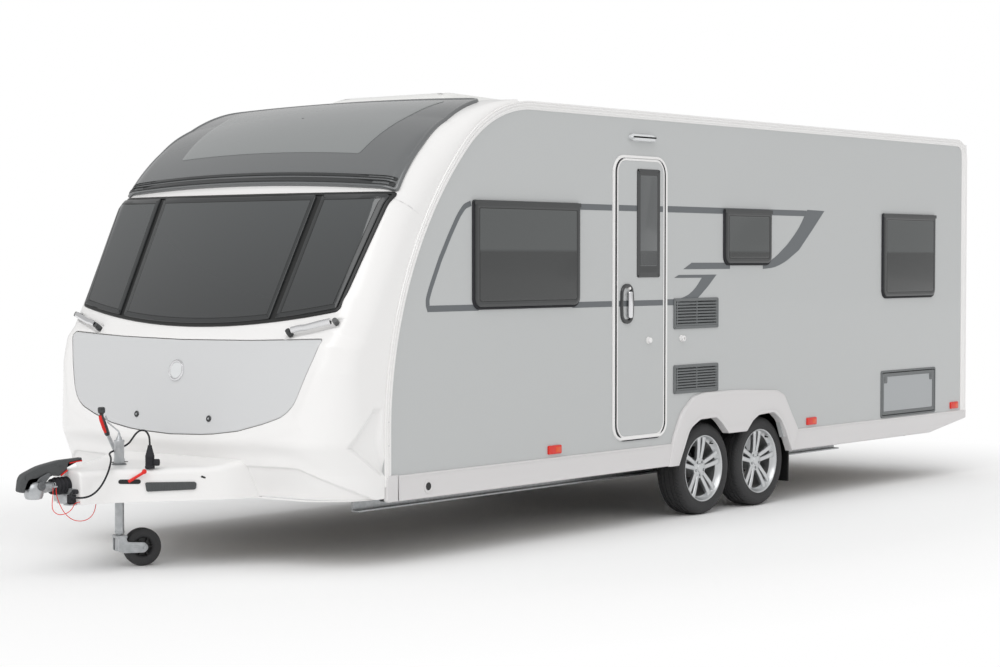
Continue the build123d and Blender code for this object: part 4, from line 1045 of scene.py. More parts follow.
@dataclass
class FrontMoulding:
    """The white moulded front: three nets round the lid, the windows and the roof window.

    Attributes:
        lid: Opening of the gas locker, in x and z.
        kite: Corners of the sunken facet on each front corner, in reach and z.
    """

    lid: tuple[Corner, ...] = mm(
        (0, 668, 3400), (500, 703, 1400), (845, 815, 200), (948, 1100, 600), (985, 1209, 20),
        (500, 1192.5, 500), (0, 1186, 500), (-500, 1192.5, 500), (-985, 1209, 20), (-948, 1100, 600),
        (-845, 815, 200), (-500, 703, 1400),
    )
    kite: tuple[Corner, ...] = mm((1145, 640), (1330, 475), (1395, 478), (1400, 845), (1330, 848))

    def lid_loop(self, gap: float = 0.0) -> Array:
        """Outline of the lid's opening, drawn smaller by gap."""
        loop = dense(rounded(self.lid), 0.012)
        return loop + gap * inward(loop)

    def window_loop(self) -> Array:
        """Outline of the opening for the front panes."""
        return smile(1.254, 0.094, 1.0, (1.058, -1.058, 1.966))

    def sky_span(self) -> tuple[float, float]:
        """Levels of the roof window's foot and top."""
        return float(SKIN.level(2.022)), float(SKIN.level_back(-1.545))

    def sky_loop(self) -> Array:
        """Outline of the opening for the roof window, in x and level.

        Returns:
            Closed outline of shape (n, 2).
        """
        low, high = self.sky_span()
        wide, narrow = 1.055, 0.985
        corners = [(-wide, low, 0.02), (wide, low, 0.02), (narrow, high, 0.09), (-narrow, high, 0.09)]
        return dense(rounded(corners), 0.02)

    def relief(self, s: Array, point: Array) -> Array:
        """Depth of the moulded creases, facets and ledges at each point, in metres.

        Added together are the undercut below the bumper's crease, the sunken kite on each
        corner, the shallow trays under the handles and the valley above the crease.

        Args:
            s: Reach along the plan curve.
            point: The same points in space.

        Returns:
            Height above the skin.
        """
        far, z = np.abs(s), point[..., 2]
        x = np.abs(point[..., 0])
        crease = np.interp(far, [0.0, 0.864, 0.884, 1.26, 1.5], [0.532, 0.54, 0.536, 0.365, 0.3])
        near = smooth(0.3, 0.62, far)
        below = smooth(0.0, 0.012, crease - z) * near
        out = -0.014 * below - 0.02 * smooth(0.0, 0.16, crease - z) * near
        inside = beside(self.kite, far, z)
        deep = np.interp(far, [1.14, 1.4], [0.03, 0.018])
        out = out - deep * smooth(0.0, 0.034, inside)
        valley = np.exp(-(((z - crease - 0.06) / 0.045) ** 2)) * smooth(1.05, 0.75, far)
        out = out - 0.01 * valley
        swell = np.exp(-(((beside(self.lid_band(), x, z)) / 0.045) ** 2))
        out = out + 0.008 * swell * smooth(1.1, 0.98, far)
        tray = beside(mm((720, 1190), (1020, 1262), (1040, 1318), (735, 1248)), x, z)
        return out - 0.01 * smooth(0.0, 0.012, tray)

    def lid_band(self) -> tuple[Corner, ...]:
        """The ridge line round the lid, as a convex outline in x and z."""
        return mm(
            (-200, 632), (200, 632), (550, 668), (890, 778), (1030, 1100), (1050, 1400), (-200, 1400),
        )

    def net(
        self,
        shape: Shape,
        low: Callable[[Array], Array],
        high: Callable[[Array], Array],
        hole: tuple[Array, Array],
        rings: int,
        count: int,
        relief: bool,
    ) -> None:
        """Add the net between a hole and a band of the front.

        Rays leave the hole's middle. On each, points are spaced evenly from the hole's edge to
        the edge of the band, whose corners have rays of their own.

        Args:
            shape: Shape that takes the net.
            low: Level of the band's lower edge for a share of the reach.
            high: Level of its upper edge.
            hole: Reach and level along the hole's outline.
            rings: Steps from the hole to the edge.
            count: Rays.
            relief: Whether the moulded details are pressed into it.
        """
        s, t = hole
        u = s / SKIN.end(t)
        v = (t - low(u)) / (high(u) - low(u))
        middle = np.array([0.0, v.mean()])
        away = np.stack([u, v], 1) - middle
        angle = np.unwrap(np.arctan2(away[:, 1], away[:, 0]))
        if angle[-1] < angle[0]:
            angle, away = angle[::-1], away[::-1]
        run = np.linspace(0.0, 1.0, count, endpoint=False)
        rays = np.interp(run, np.linspace(0.0, 1.0, len(angle) + 1), [*angle, angle[0] + math.tau])
        corners = np.array([(-1, 0), (1, 0), (1, 1), (-1, 1)]) - middle
        ends = np.arctan2(corners[:, 1], corners[:, 0])
        ends = angle[0] + np.mod(ends - angle[0], math.tau)
        rays[np.argmin(np.abs(rays[:, None] - ends[None]), axis=0)] = ends
        length = np.linalg.norm(away, axis=1)
        cycle = np.concatenate([angle, [angle[0] + math.tau]])
        inner = np.interp(rays, cycle, [*length, length[0]])
        cos, sin = np.cos(rays), np.sin(rays)
        wide = 1.0 / np.maximum(np.abs(cos), 1e-9)
        tall = np.where(sin > 0, 1.0 - middle[1], middle[1]) / np.maximum(np.abs(sin), 1e-9)
        outer = np.minimum(wide, tall)
        share = np.linspace(0.0, 1.0, rings + 1)[:, None]
        radius = inner + share * (outer - inner)
        u, v = radius * cos, np.clip(middle[1] + radius * sin, 0.0, 1.0)
        t = low(u) + v * (high(u) - low(u))
        s = u * SKIN.end(t)
        height = self.relief(s, SKIN.spot(s, t)) if relief else 0.0 * s
        rows = SKIN.lift(s, t, height)
        edge = [SKIN.lift(s[0], t[0], height[0] - deep) for deep in (0.022, 0.004)]
        edge.append(SKIN.lift(s[0] * 0.9992, t[0], height[0] - 0.0008))
        shape.grid(np.concatenate([np.array(edge), rows]))

    def build(self) -> None:
        """Build the two white mouldings."""
        base, roof_end = float(SKIN.t[0]), float(SKIN.t[-1])
        split = float(SKIN.level(1.224))
        belt = float(SKIN.level(1.988))
        lip = lambda u: split + 0.115 * u * u
        lower = Shape()
        self.net(lower, lambda u: base + 0 * u, lip, SKIN.find(*self.lid_loop().T), 84, 1000, True)
        u = np.linspace(-1.0, 1.0, 300)
        foot = u * SKIN.end(base + 0 * u)
        lower.grid(np.array([SKIN.lift(foot, base + 0 * u, -d + 0 * u) for d in (0.0, 0.02)]), wrap=False)
        lower.make("front_moulding_lower", Look.WHITE, replaces=["front_panel_lower"], sharp=CRISP)
        upper = Shape()
        self.net(upper, lip, lambda u: belt + 0 * u, SKIN.find(*self.window_loop().T), 26, 640, True)
        low, level = self.sky_loop().T
        sky = (SKIN.across(low, level), level)
        self.net(upper, lambda u: belt + 0 * u, lambda u: roof_end + 0 * u, sky, 26, 640, False)
        upper.make("front_moulding_upper", Look.WHITE, replaces=["front_panel_upper"], sharp=CRISP)
        self.corner_plates()

    def corner_plates(self) -> None:
        """The slim fixing plate behind each kite, with its two screws."""
        plates, screws = shapes(2)
        for side in (1.0, -1.0):
            place = lambda a, b, h: SKIN.lift(side * a, SKIN.level(b), h)
            loop = dense(box_loop((1.432, 0.628), (1.452, 0.776), 0.004), 0.02)
            plates.rim(loop, place, soft_edge(0.004, -0.002, 0.0015))
            for z in (0.64, 0.764):
                screws.rim(disc_loop((1.442, z), 0.0042, 16), place, soft_edge(0.0056, 0.003, 0.001))
        plates.make("corner_plates", Look.CLEAR)
        screws.make("corner_plate_screws", Look.ZINC)


@dataclass
class LockerLid:
    """The silver lid of the gas locker, with its locks and its plain round boss.

    Attributes:
        gap: Gap to the moulding all round.
        locks: Reach of the two locks from the middle.
        boss: Radius of the round boss.
    """

    gap: float = 0.004
    locks: float = 0.284
    boss: float = 0.058

    def build(self) -> None:
        """Build the lid and what is on it."""
        loop = FrontMoulding().lid_loop(self.gap)
        lid = Shape().rim(
            loop, SKIN.place, mm((18, -22), (15, -18), (0, -3), (1.2, -1.2), (4, 0)),
            cap=False, rings=34,
        )
        lid.rim(loop, SKIN.place, mm((18, -22), (19, -22)), cap=False, rings=6)
        lid.make("locker_lid_seen", Look.LID, LID, [LID], sharp=CRISP)
        locks, eyes, ring, disc = shapes(4)
        for x in (-self.locks, self.locks):
            locks.rim(
                disc_loop((x, 0.772), 0.017, 28), SKIN.place,
                mm((0, -2), (0, 4), (3, 7), (6, 7.5), (7, 5)),
            )
            eyes.rim(disc_loop((x, 0.772), 0.006, 16), SKIN.place, soft_edge(0.0068, 0.004, 0.001))
        mark = disc_loop((0.0, 1.018), self.boss, 64)
        ring.rim(mark, SKIN.place, mm((0, -2), (0, 4), (3, 9), (8, 11), (13, 9), (15, 5)), cap=False)
        disc.rim(mark, SKIN.place, mm((14, 4), (16, 6.5), (20, 7.5)), cap=False, rings=8)
        locks.make("lid_locks", Look.EDGE, LID)
        eyes.make("lid_lock_barrels", Look.ZINC, LID)
        ring.make("lid_boss_ring", Look.CHROME, LID)
        disc.make("lid_boss", Look.CLEAR, LID)


@dataclass
class FrontWindows:
    """Three dark panes in one black surround, and the roof window in the brow.

    Attributes:
        low: Height of the panes' foot in the middle.
        rise: How much the foot rises at one metre.
        top: Height of the panes' top.
        spans: Near and far x of the middle and the side pane at the foot, then at the top.
    """

    low: float = 1.266
    rise: float = 0.094
    top: float = 1.953
    spans: tuple[Corner, ...] = mm((-572, 572, -598, 598), (612, 984, 640, 1042))

    def panes(self) -> list[Array]:
        """Outlines of the middle pane and the two side panes.

        Returns:
            Closed outlines in x and z.
        """
        made = []
        for near, far, near_top, far_top in self.spans:
            inner = near if near > 0.0 else 0.0
            made.append(smile(self.low, self.rise, far, (far_top, near_top, self.top), inner=inner))
        return [*made, made[1] * (-1.0, 1.0)]

    def fill(self, span: Corner, inset: float, count: int) -> Array:
        """A net over one pane: across between its slanting sides, up from its curved foot to its top.

        Args:
            span: Near and far x at the foot, then at the top.
            inset: Distance kept from the pane's outline.
            count: Columns.

        Returns:
            Points in x and z, shape (rows, columns, 2).
        """
        near, far, near_top, far_top = span
        u, v = np.meshgrid(np.linspace(0.0, 1.0, count), np.linspace(0.0, 1.0, 26))
        left = near + inset + (near_top - near) * v
        right = far - inset + (far_top - far) * v
        x = left + (right - left) * u
        foot = self.low + self.rise * x * x + inset
        return np.stack([x, foot + (self.top - inset - foot) * v], -1)

    def build(self) -> None:
        """Build the surround, the panes and the roof window."""
        loop = FrontMoulding().window_loop()
        surround = Shape().rim(
            loop, SKIN.place, mm((-3, -6), (-4, 4), (-1, 8), (4, 9), (11, 8), (12, 2)),
            cap=False, rings=24,
        )
        surround.make("front_window_surround", Look.BLACK, replaces=["front_windows"])
        borders, glass, lines = shapes(3)
        for pane in self.panes():
            borders.rim(
                pane, SKIN.place,
                mm((0, 2), (0, 10), (2, 13), (5, 14), (22, 14), (23.5, 12.5), (26.5, 12.5), (27.5, 11.5)),
                cap=False,
            )
            lines.rim(
                pane, SKIN.place, mm((22.5, 12), (23.5, 12.9), (26.5, 12.9), (27.5, 11.8)), cap=False,
            )
        for span in self.spans:
            net = self.fill(span, 0.0262, 60)
            for way in (1.0, -1.0) if span[0] > 0.0 else (1.0,):
                glass.grid(
                    SKIN.place(way * net[..., 0], net[..., 1], np.full(net.shape[:2], 0.0122)),
                    wrap=False,
                )
        borders.make("front_pane_borders", Look.EDGE)
        lines.make("front_pane_lines", Look.BLACK)
        # The front panes carry a painted sky reflection: lighter towards their tops.
        glass.make("front_panes", Look.GLASS)
        self.roof_window()

    def roof_window(self) -> None:
        """Build the roof window: grey surround with two bars at its foot and a lighter pane."""
        sky = FrontMoulding().sky_loop()
        low, high = FrontMoulding().sky_span()
        frame_ = Shape().rim(
            sky, SKIN.place_level,
            mm((-4, -10), (-4, 10), (0, 17), (6, 19), (14, 17), (18, 13)),
            cap=False, rings=40,
        )
        frame_.make("roof_window_surround", Look.BROW, replaces=["front_roof_window"])
        bars = Shape()
        for start, width, tall in mm((14, 30, 22), (58, 22, 19)):
            bar = dense(box_loop((-1.035, low + start), (1.035, low + start + width), 0.006), 0.03)
            bars.rim(
                bar, SKIN.place_level, [(0, 0.012), (0.001, tall - 0.002), (0.004, tall)], cap=False,
                rings=4,
            )
        bars.make("roof_window_bars", Look.EDGE)
        corners = [
            (-0.7, low + 0.235, 0.02), (0.7, low + 0.235, 0.02), (0.8, high - 0.1, 0.03),
            (-0.8, high - 0.1, 0.03),
        ]
        pane = dense(rounded(corners), 0.03)
        # The roof window's pane is a light grey that paints the sky's reflection over its smoked tint.
        glass = Shape().rim(pane, SKIN.place_level, mm((0, 12), (0, 15), (2, 15.5)), cap=False, rings=20)
        glass.make("roof_window_pane", Look.SMOKE)


@dataclass
class FrontHandles:
    """The two bright grab handles at the ends of the lid.

    Attributes:
        inner: Inner end: x, z.
        outer: Outer end: x, z.
        stand: How far the bar stands off.
    """

    inner: Corner = (0.752, 1.224)
    outer: Corner = (1.008, 1.288)
    stand: float = 0.03

    def build(self) -> None:
        """Build both bars and their feet."""
        bars, feet = shapes(2)
        for side in (1.0, -1.0):
            x = side * np.linspace(self.inner[0], self.outer[0], 15)
            z = np.linspace(self.inner[1], self.outer[1], 15)
            path = SKIN.place(x, z, np.full(15, self.stand))
            bars.tube(path[1:-1], 0.0125, 20, 1.35)
            for end in (0, -1):
                spot = np.stack([SKIN.place(x[end], z[end], np.array(h)) for h in (-0.004, 0.018, 0.036)])
                feet.tube(spot, (0.016, 0.0165, 0.014), 18)
        bars.make("front_handles", Look.CHROME, replaces=["grab_handles"])
        feet.make("front_handle_feet", Look.EDGE)


# ---- side walls
def wall_outline(foot: float) -> Array:
    """The side wall's outline in y and z: upright, two arcs to the roof line, a rear corner.

    Args:
        foot: Height of its lower edge.

    Returns:
        Open line of shape (n, 2).
    """
    angle = np.linspace(math.pi / 2.0, 0.0, 16)
    rear = np.stack([REAR - 0.15 + 0.15 * np.cos(angle), ROOF_TOP - 0.15 + 0.15 * np.sin(angle)], 1)
    line = [[(NOSE, foot)], *wall_arcs(40, 30), rear, [(REAR, foot)]]
    return dense(np.concatenate(line), 0.12, closed=False)


@dataclass
class EdgeRails:
    """The white ribbed rail round each side wall, and the wider strip down its rear edge."""

    def build(self) -> None:
        """Build both rails."""
        ribs = mm((0, -2), (-0.6, 4), (2, 8), (7, 8), (9, 5.5), (11.5, 5.5))
        ribs += mm((13.5, 9.2), (16.5, 9.9), (19.5, 9.2), (21.5, 5), (28.5, 5))
        ribs += mm((30.5, 9.2), (33.5, 9.9), (36.5, 9.2), (38.5, 5), (46.5, 4), (49.5, 0))
        rails = Shape()
        for side in Side:
            rails.rim(wall_outline(0.425), on_side(side), ribs, cap=False, wrap=False)
            strip = bent(
                (3990, 474), (3990, 2470), (3780, 2470), (3780, 2454.5), (3917, 2454.5, 100), (3917, 474),
            )
            rails.rim(strip, on_side(side), mm((0, -1), (0, 3.5), (1.2, 4.6)))
        rails.make("edge_rails_seen", Look.WHITE, replaces=["edge_rails"])


@dataclass
class Stripes:
    """Flat grey bands on the flanks: the sweep round the front window, the long bands and two flicks.

    Attributes:
        lift: How far they stand off the wall.
        levels: Lower and upper edge of each long band.
        sweep: Rear end of the upper band, in y and z.
        tail: Flick under the middle window.
        flick: Short flick over the vent.
    """

    lift: float = 0.0009
    levels: tuple[Corner, ...] = mm((1902, 1937), (1333.5, 1367.5))
    sweep: tuple[Corner, ...] = mm(
        (1701, 1945), (1925, 1941), (1762, 1806), (1597, 1675), (1434, 1600, 500), (1297, 1560, 500),
        (1150, 1551), (1150, 1596), (1247, 1606, 400), (1319, 1637, 400), (1457, 1715, 500),
        (1596, 1820, 500),
    )
    tail: tuple[Corner, ...] = mm((234, 1553), (760, 1553), (760, 1593), (325, 1593))
    flick: tuple[Corner, ...] = mm(
        (134, 1500), (184, 1518), (606, 1518), (512, 1447, 400), (429, 1393, 400), (360, 1352),
        (200, 1352), (200, 1372), (296, 1393, 300), (377, 1441, 300), (439, 1499),
    )

    def bands(self) -> list[Array]:
        """Outlines of the bands on a flank, in y and z.

        Returns:
            Closed outlines.
        """
        arc = np.array(
            mm(
                (-2174, 1367.6), (-2176, 1400), (-2150, 1462), (-2074, 1611), (-1991, 1746),
                (-1915, 1857), (-1868, 1902), (-1815, 1920),
            ),
        )
        arc = rounded([(*p, 0.06 if i in (1, 6) else 0.4) for i, p in enumerate(arc)], closed=False)
        line = mm((-2176, 1333.5), (-1750, 1333.5), (-1750, 1367.5), (-2190, 1367.5))
        ahead = [box_loop((-0.9, low), (-0.514, high)) for low, high in self.levels]
        on_upper = mm((56, 1902), (1668, 1902), (1692, 1940), (56, 1940))
        on_lower = mm((56, 1332.5), (300, 1332.5), (300, 1369.5), (56, 1369.5))
        flat = [np.array(line), *ahead, np.array(on_upper), np.array(on_lower)]
        return [ribbon(arc, 0.03), *flat, *(rounded(b) for b in (self.sweep, self.tail, self.flick))]

    def build(self) -> None:
        """Lay the bands on both flanks and across the entrance door."""
        wall, door = shapes(2)
        for side in Side:
            for band in self.bands():
                wall.rim(band, on_side(side), [(0.0, 0.0), (0.0, self.lift)])
            if side is Side.RIGHT:
                for low, high in self.levels:
                    wall.rim(
                        box_loop((-0.514, low), (0.056, high)), on_side(side),
                        [(0.0, 0.0), (0.0, self.lift)],
                    )
        for low, high in self.levels:
            door.rim(box_loop((-0.452, low), (0.004, high)), on_side(Side.LEFT), mm((0, 6.5), (0, 7.2)))
        wall.make("wall_stripes", Look.STRIPE)
        door.make("door_stripes", Look.STRIPE, DOOR)


@dataclass
class SideWindow:
    """One side window: rubber surround, acrylic pane with a rounded inner line, top hinge strip.

    Attributes:
        side: Wall it sits in.
        low: Lower front corner in y and z.
        high: Upper rear corner.
        radius: Corner radius.
    """

    side: Side
    low: Corner
    high: Corner
    radius: float = 0.062

    def outline(self, inset: float = 0.0) -> Array:
        """Its outline drawn smaller by inset; the upper corners are tighter than the lower ones.

        Args:
            inset: Distance from the full outline.

        Returns:
            Closed outline of shape (n, 2).
        """
        (a, b), (c, d) = self.low, self.high
        a, b, c, d = a + inset, b + inset, c - inset, d - inset
        wide, tight = max(self.radius - inset, 0.018), max(0.018 - 0.3 * inset, 0.008)
        return rounded([(a, b, wide), (c, b, wide), (c, d, tight), (a, d, tight)], turn=0.12)

    def add(self, surround: Shape, edge: Shape, line: Shape, glass: Shape) -> None:
        """Add its parts to the four shapes that gather them.

        Args:
            surround: Takes the rubber.
            edge: Takes the pane's dark border and the hinge strip.
            line: Takes the fine inner line.
            glass: Takes the clear middle.
        """
        place, loop = on_side(self.side), self.outline()
        surround.rim(loop, place, mm((0, -2), (0, 5), (3, 10), (8, 12), (12, 10), (14, 3)), cap=False)
        border = mm((0, 3), (0.5, 12), (3, 17), (8, 19), (28, 19.6), (30, 18.5))
        edge.rim(self.outline(0.012), place, border, cap=False, inner=self.outline(0.042))
        thin = mm((0, 18.4), (1.5, 19), (4, 19), (5, 18.4))
        line.rim(self.outline(0.0415), place, thin, cap=False, inner=self.outline(0.0465))
        glass.rim(
            self.outline(0.046), place, mm((0, 18.2), (2, 19.4), (6, 19.7)), inner=self.outline(0.052),
        )
        (a, _), (c, d) = self.low, self.high
        bar = box_loop((a + 0.004, d - 0.026), (c - 0.004, d - 0.002), 0.004)
        edge.rim(bar, place, mm((0, 4), (0, 18.5), (1.5, 19.9)))


@dataclass
class SideWindows:
    """The windows of both flanks and the rear wall.

    Attributes:
        left: Lower front and upper rear corners of the door side's windows, in y and z.
        right: The same for the other side.
        rear: The rear window's corners, in x and z.
    """

    left: tuple[Corner, ...] = mm(
        (-1806, 1338, -835, 1940), (679, 1575, 1246, 1935), (2711, 1336, 3497, 1938),
    )
    right: tuple[Corner, ...] = mm(
        (-1806, 1338, -835, 1940), (-250, 1575, 650, 1935), (2711, 1336, 3497, 1938),
    )
    rear: Corner = (-0.43, 1.42, 0.43, 1.938)

    def build(self) -> None:
        """Build every window."""
        for side, name, spots in ((Side.LEFT, "left", self.left), (Side.RIGHT, "right", self.right)):
            surround, edge, line, glass = shapes(4)
            for a, b, c, d in spots:
                SideWindow(side, (a, b), (c, d)).add(surround, edge, line, glass)
            surround.make(f"window_rubbers_{name}", Look.RUBBER, replaces=[f"side_windows_{name}"])
            edge.make(f"window_edges_{name}", Look.EDGE)
            line.make(f"window_lines_{name}", Look.BLACK)
            # Side panes: dark below and lighter above about 1.66 m, a painted horizon reflection.
            glass.make(f"window_panes_{name}", Look.SHADE)
        a, b, c, d = self.rear
        loop = box_loop((a, b), (c, d), 0.045)
        inner = box_loop((a + 0.042, b + 0.042), (c - 0.042, d - 0.042), 0.02)
        edge, glass = shapes(2)
        border = mm((0, -2), (0, 8), (4, 14), (12, 17), (40, 18), (42, 16))
        edge.rim(loop, on_rear, border, cap=False, inner=inner)
        glass.rim(inner, on_rear, mm((-1, 15.8), (2, 17.6), (6, 18)))
        edge.make("rear_window_edge", Look.EDGE, replaces=["rear_window"])
        # The rear pane carries a painted sky reflection: lighter towards its top.
        glass.make("rear_window_pane", Look.GLASS)


@dataclass
class EntranceDoor:
    """The narrow entrance door with its seal, frame, window, handle and retainers.

    Attributes:
        low: Lower front corner of the leaf in y and z.
        high: Upper rear corner.
        radius: Corner radius of the leaf.
    """

    low: Corner = (-0.47, 0.545)
    high: Corner = (0.022, 2.214)
    radius: float = 0.085

    def build(self) -> None:
        """Build the frame, which stays, and the leaf, which swings."""
        place = on_side(Side.LEFT)
        leaf = box_loop(self.low, self.high, self.radius)
        self.frame(place, leaf)
        back, skin, trim = shapes(3)
        skin.rim(leaf, place, mm((10, 4), (15, 6.2), (18, 6.5)))
        trim.rim(
            leaf, place, mm((1, -24), (0, -20), (0, 3), (1.5, 6.8), (5, 7.8), (9.5, 7.2), (11, 5)),
            cap=False,
        )
        back.rim(leaf, place, mm((1.2, -23.5), (10, -26.5), (30, -26.5)))
        skin.make("door_skin", Look.WALL, DOOR, [DOOR])
        trim.make("door_trim", Look.WHITE, DOOR)
        back.make("door_lining", Look.ROOF, DOOR)
        pane = Shape().rim(
            box_loop((-0.262, 1.512), (-0.039, 2.15), 0.012), place,
            mm((0, -26.2), (0, -28.2), (2, -28.8)),
        )
        # The lining pane takes the same lighter grey of the painted sky reflection.
        pane.make("door_lining_pane", Look.BLIND, DOOR)
        self.window(place)
        self.handle(place)

    def frame(self, place: Place, leaf: Array) -> None:
        """Build the white surround, the dark seal and the wall's retainer.

        Args:
            place: Maps (y, z, height) onto the wall.
            leaf: Outline of the leaf.
        """
        surround, seal, ledge = shapes(3)
        opening = box_loop((-0.511, 0.53), (0.054, 2.238), 0.036)
        ledge.rim(opening, place, mm((0, -1), (0, 0.4), (34, 0.4), (34, -20)), cap=False)
        ledge.make("door_ledge", Look.WALL)
        outer = bent((-509, 532, 90), (52, 532, 90), (52, 2236, 110), (-509, 2236, 110))
        surround.rim(
            outer, place,
            mm((0, -1), (0, 5), (3, 9.5), (8, 11), (14, 10), (18, 6.5), (23.5, 6.2), (24, -30)),
            cap=False,
        )
        seal.rim(leaf, place, mm((-19, 0), (-18, 6.6), (-4, 7.2), (-1.6, 5.5), (-1.2, -28)), cap=False)
        knob = mm(
            (0, -1), (21, -1), (21, 4), (17.5, 6), (17.5, 22), (15, 25), (9.5, 25), (9, 12), (0, 12),
        )
        surround.lathe(knob, (HALF, 0.215, 1.126), ACROSS, 32)
        surround.make("door_surround", Look.WHITE, replaces=["door_frame"])
        seal.make("door_seal", Look.RUBBER)

    def window(self, place: Place) -> None:
        """Build the tall narrow pane.

        Args:
            place: Maps (y, z, height) onto the wall.
        """
        loop = box_loop((-0.269, 1.505), (-0.032, 2.157), 0.014)
        edge, glass, painted_horizon_band = shapes(3)
        edge.rim(loop, place, mm((0, 4), (0, 9), (1.5, 11.2), (30, 11.8), (31, 10.8)), cap=False)
        glass.rim(
            box_loop((-0.239, 1.575), (-0.062, 2.118), 0.01), place, mm((-2, 10.6), (1, 11.4), (3, 11.7)),
        )
        edge.rim(box_loop((-0.2395, 1.534), (-0.0615, 1.574), 0.004), place, mm((0, 10), (0, 11.7)))
        edge.rim(box_loop((-0.2395, 2.119), (-0.0615, 2.128), 0.004), place, mm((0, 10), (0, 11.7)))
        # Painted reflection: a darker band across the foot of the pane, under the lighter glass above,
        # standing for the mirrored horizon.
        painted_horizon_band.rim(box_loop((-0.238, 1.578), (-0.063, 1.665), 0.006), place, mm((0, 11.2), (0, 11.9)))
        edge.make("door_window_edge", Look.EDGE, DOOR, ["door_window"])
        glass.make("door_window_pane", Look.BLIND, DOOR)
        painted_horizon_band.make("door_window_foot", Look.GLASS, DOOR)

    def handle(self, place: Place) -> None:
        """Build the oval recess, the pale grip and the lock.

        Args:
            place: Maps (y, z, height) onto the wall.
        """
        oval = bent(
            (-434, 1230, 58), (-318, 1230, 50), (-304, 1349, 300), (-318, 1468, 50), (-434, 1468, 58),
            (-440, 1349, 300),
        )
        bezel, cup, grip, lock = shapes(4)
        bezel.rim(oval, place, mm((0, 5.5), (0, 12), (4, 17.5), (12, 19.5), (20, 17), (26, 7)), cap=False)
        cup.rim(oval, place, mm((25, 8.5), (30, 1), (42, -6), (50, -7)))
        bar = bent(
            (-372, 1262, 12), (-336, 1262, 12), (-330, 1345, 200), (-336, 1424, 12), (-372, 1424, 12),
        )
        grip.rim(bar, place, mm((0, 16), (0, 22), (3, 27), (9, 28.5)), back=True)
        for z in (1.268, 1.418):
            grip.block((HALF - 0.004, -0.366, z - 0.006), (HALF + 0.018, -0.344, z + 0.006), 0.002)
        lock.rim(disc_loop((-0.356, 1.441), 0.0085, 24), place, mm((0, 4), (0, 21.5), (2, 23), (5, 22.5)))
        bezel.make("door_handle_bezel", Look.EDGE, DOOR, ["door_handle"])
        cup.make("door_handle_cup", Look.BLACK, DOOR)
        grip.make("door_handle_grip", Look.CHROME, DOOR)
        knob = mm((0, 5), (21, 5), (21, 10), (16.5, 12), (16.5, 26), (14, 28.2), (0, 28.2))
        lock.lathe(knob, (HALF, -0.149, 1.125), ACROSS, 32)
        lock.make("door_lock_and_knob", Look.WHITE, DOOR)


@dataclass
class Hatch:
    """A framed locker door in a flank with two turning latches.

    Attributes:
        side: Wall it sits in.
        low: Lower front corner of its frame in y and z.
        high: Upper rear corner.
        body: Body of the leaf, and the CAD node that it stands for.
        top_latches: Whether the latches sit at the top or at the rear.
    """

    side: Side
    low: Corner
    high: Corner
    body: str
    top_latches: bool = True

    def build(self, frame_: Shape) -> None:
        """Add the frame to frame_ and build the leaf.

        Args:
            frame_: Shape that takes the frame.
        """
        place = on_side(self.side)
        outer = box_loop(self.low, self.high, 0.018)
        frame_.rim(
            outer, place, mm((0, -1), (0, 4), (2, 7), (6, 8), (13, 7.5), (14.5, 4), (15, -28)), cap=False,
        )
        (a, b), (c, d) = self.low, self.high
        leaf = box_loop((a + 0.019, b + 0.019), (c - 0.019, d - 0.019), 0.012)
        rim, panel, latch = shapes(3)
        field_ = box_loop((a + 0.0445, b + 0.0445), (c - 0.0445, d - 0.0445), 0.01)
        border = mm((0, -28), (0, 3), (2, 5.8), (20, 6), (24, 3.5), (25.5, 1.2))
        rim.rim(leaf, place, border, back=True, cap=False, inner=field_)
        panel.rim(field_, place, mm((-2, 1), (2.5, 2.2), (4.5, 2.4)))
        spots = [(a + 0.062, d - 0.062), (c - 0.062, d - 0.062)]
        if not self.top_latches:
            spots = [(c - 0.062, d - 0.075), (c - 0.062, b + 0.075)]
        for y, z in spots:
            plate = box_loop((y - 0.028, z - 0.028), (y + 0.028, z + 0.028), 0.01)
            latch.rim(plate, place, mm((0, 1), (0, 4.5), (2, 5.8)))
            latch.rim(disc_loop((y, z), 0.015, 24), place, mm((0, 5), (0, 7.2), (2, 7.9)))
        rim.make(f"{self.body}_rim", Look.TRIM, self.body, [self.body])
        panel.make(f"{self.body}_panel", Look.PANEL, self.body)
        latch.make(f"{self.body}_latches", Look.TRIM, self.body)


@dataclass
class Hatches:
    """The service locker's door and the cassette door."""

    def build(self) -> None:
        """Build both hatches."""
        frame_ = Shape()
        Hatch(Side.LEFT, (2.71, 0.488), (3.518, 0.823), "service_door").build(frame_)
        Hatch(Side.RIGHT, (1.83, 0.56), (2.24, 0.99), "cassette_door", False).build(frame_)
        frame_.make("hatch_surrounds", Look.TRIM, replaces=["hatch_frames"])


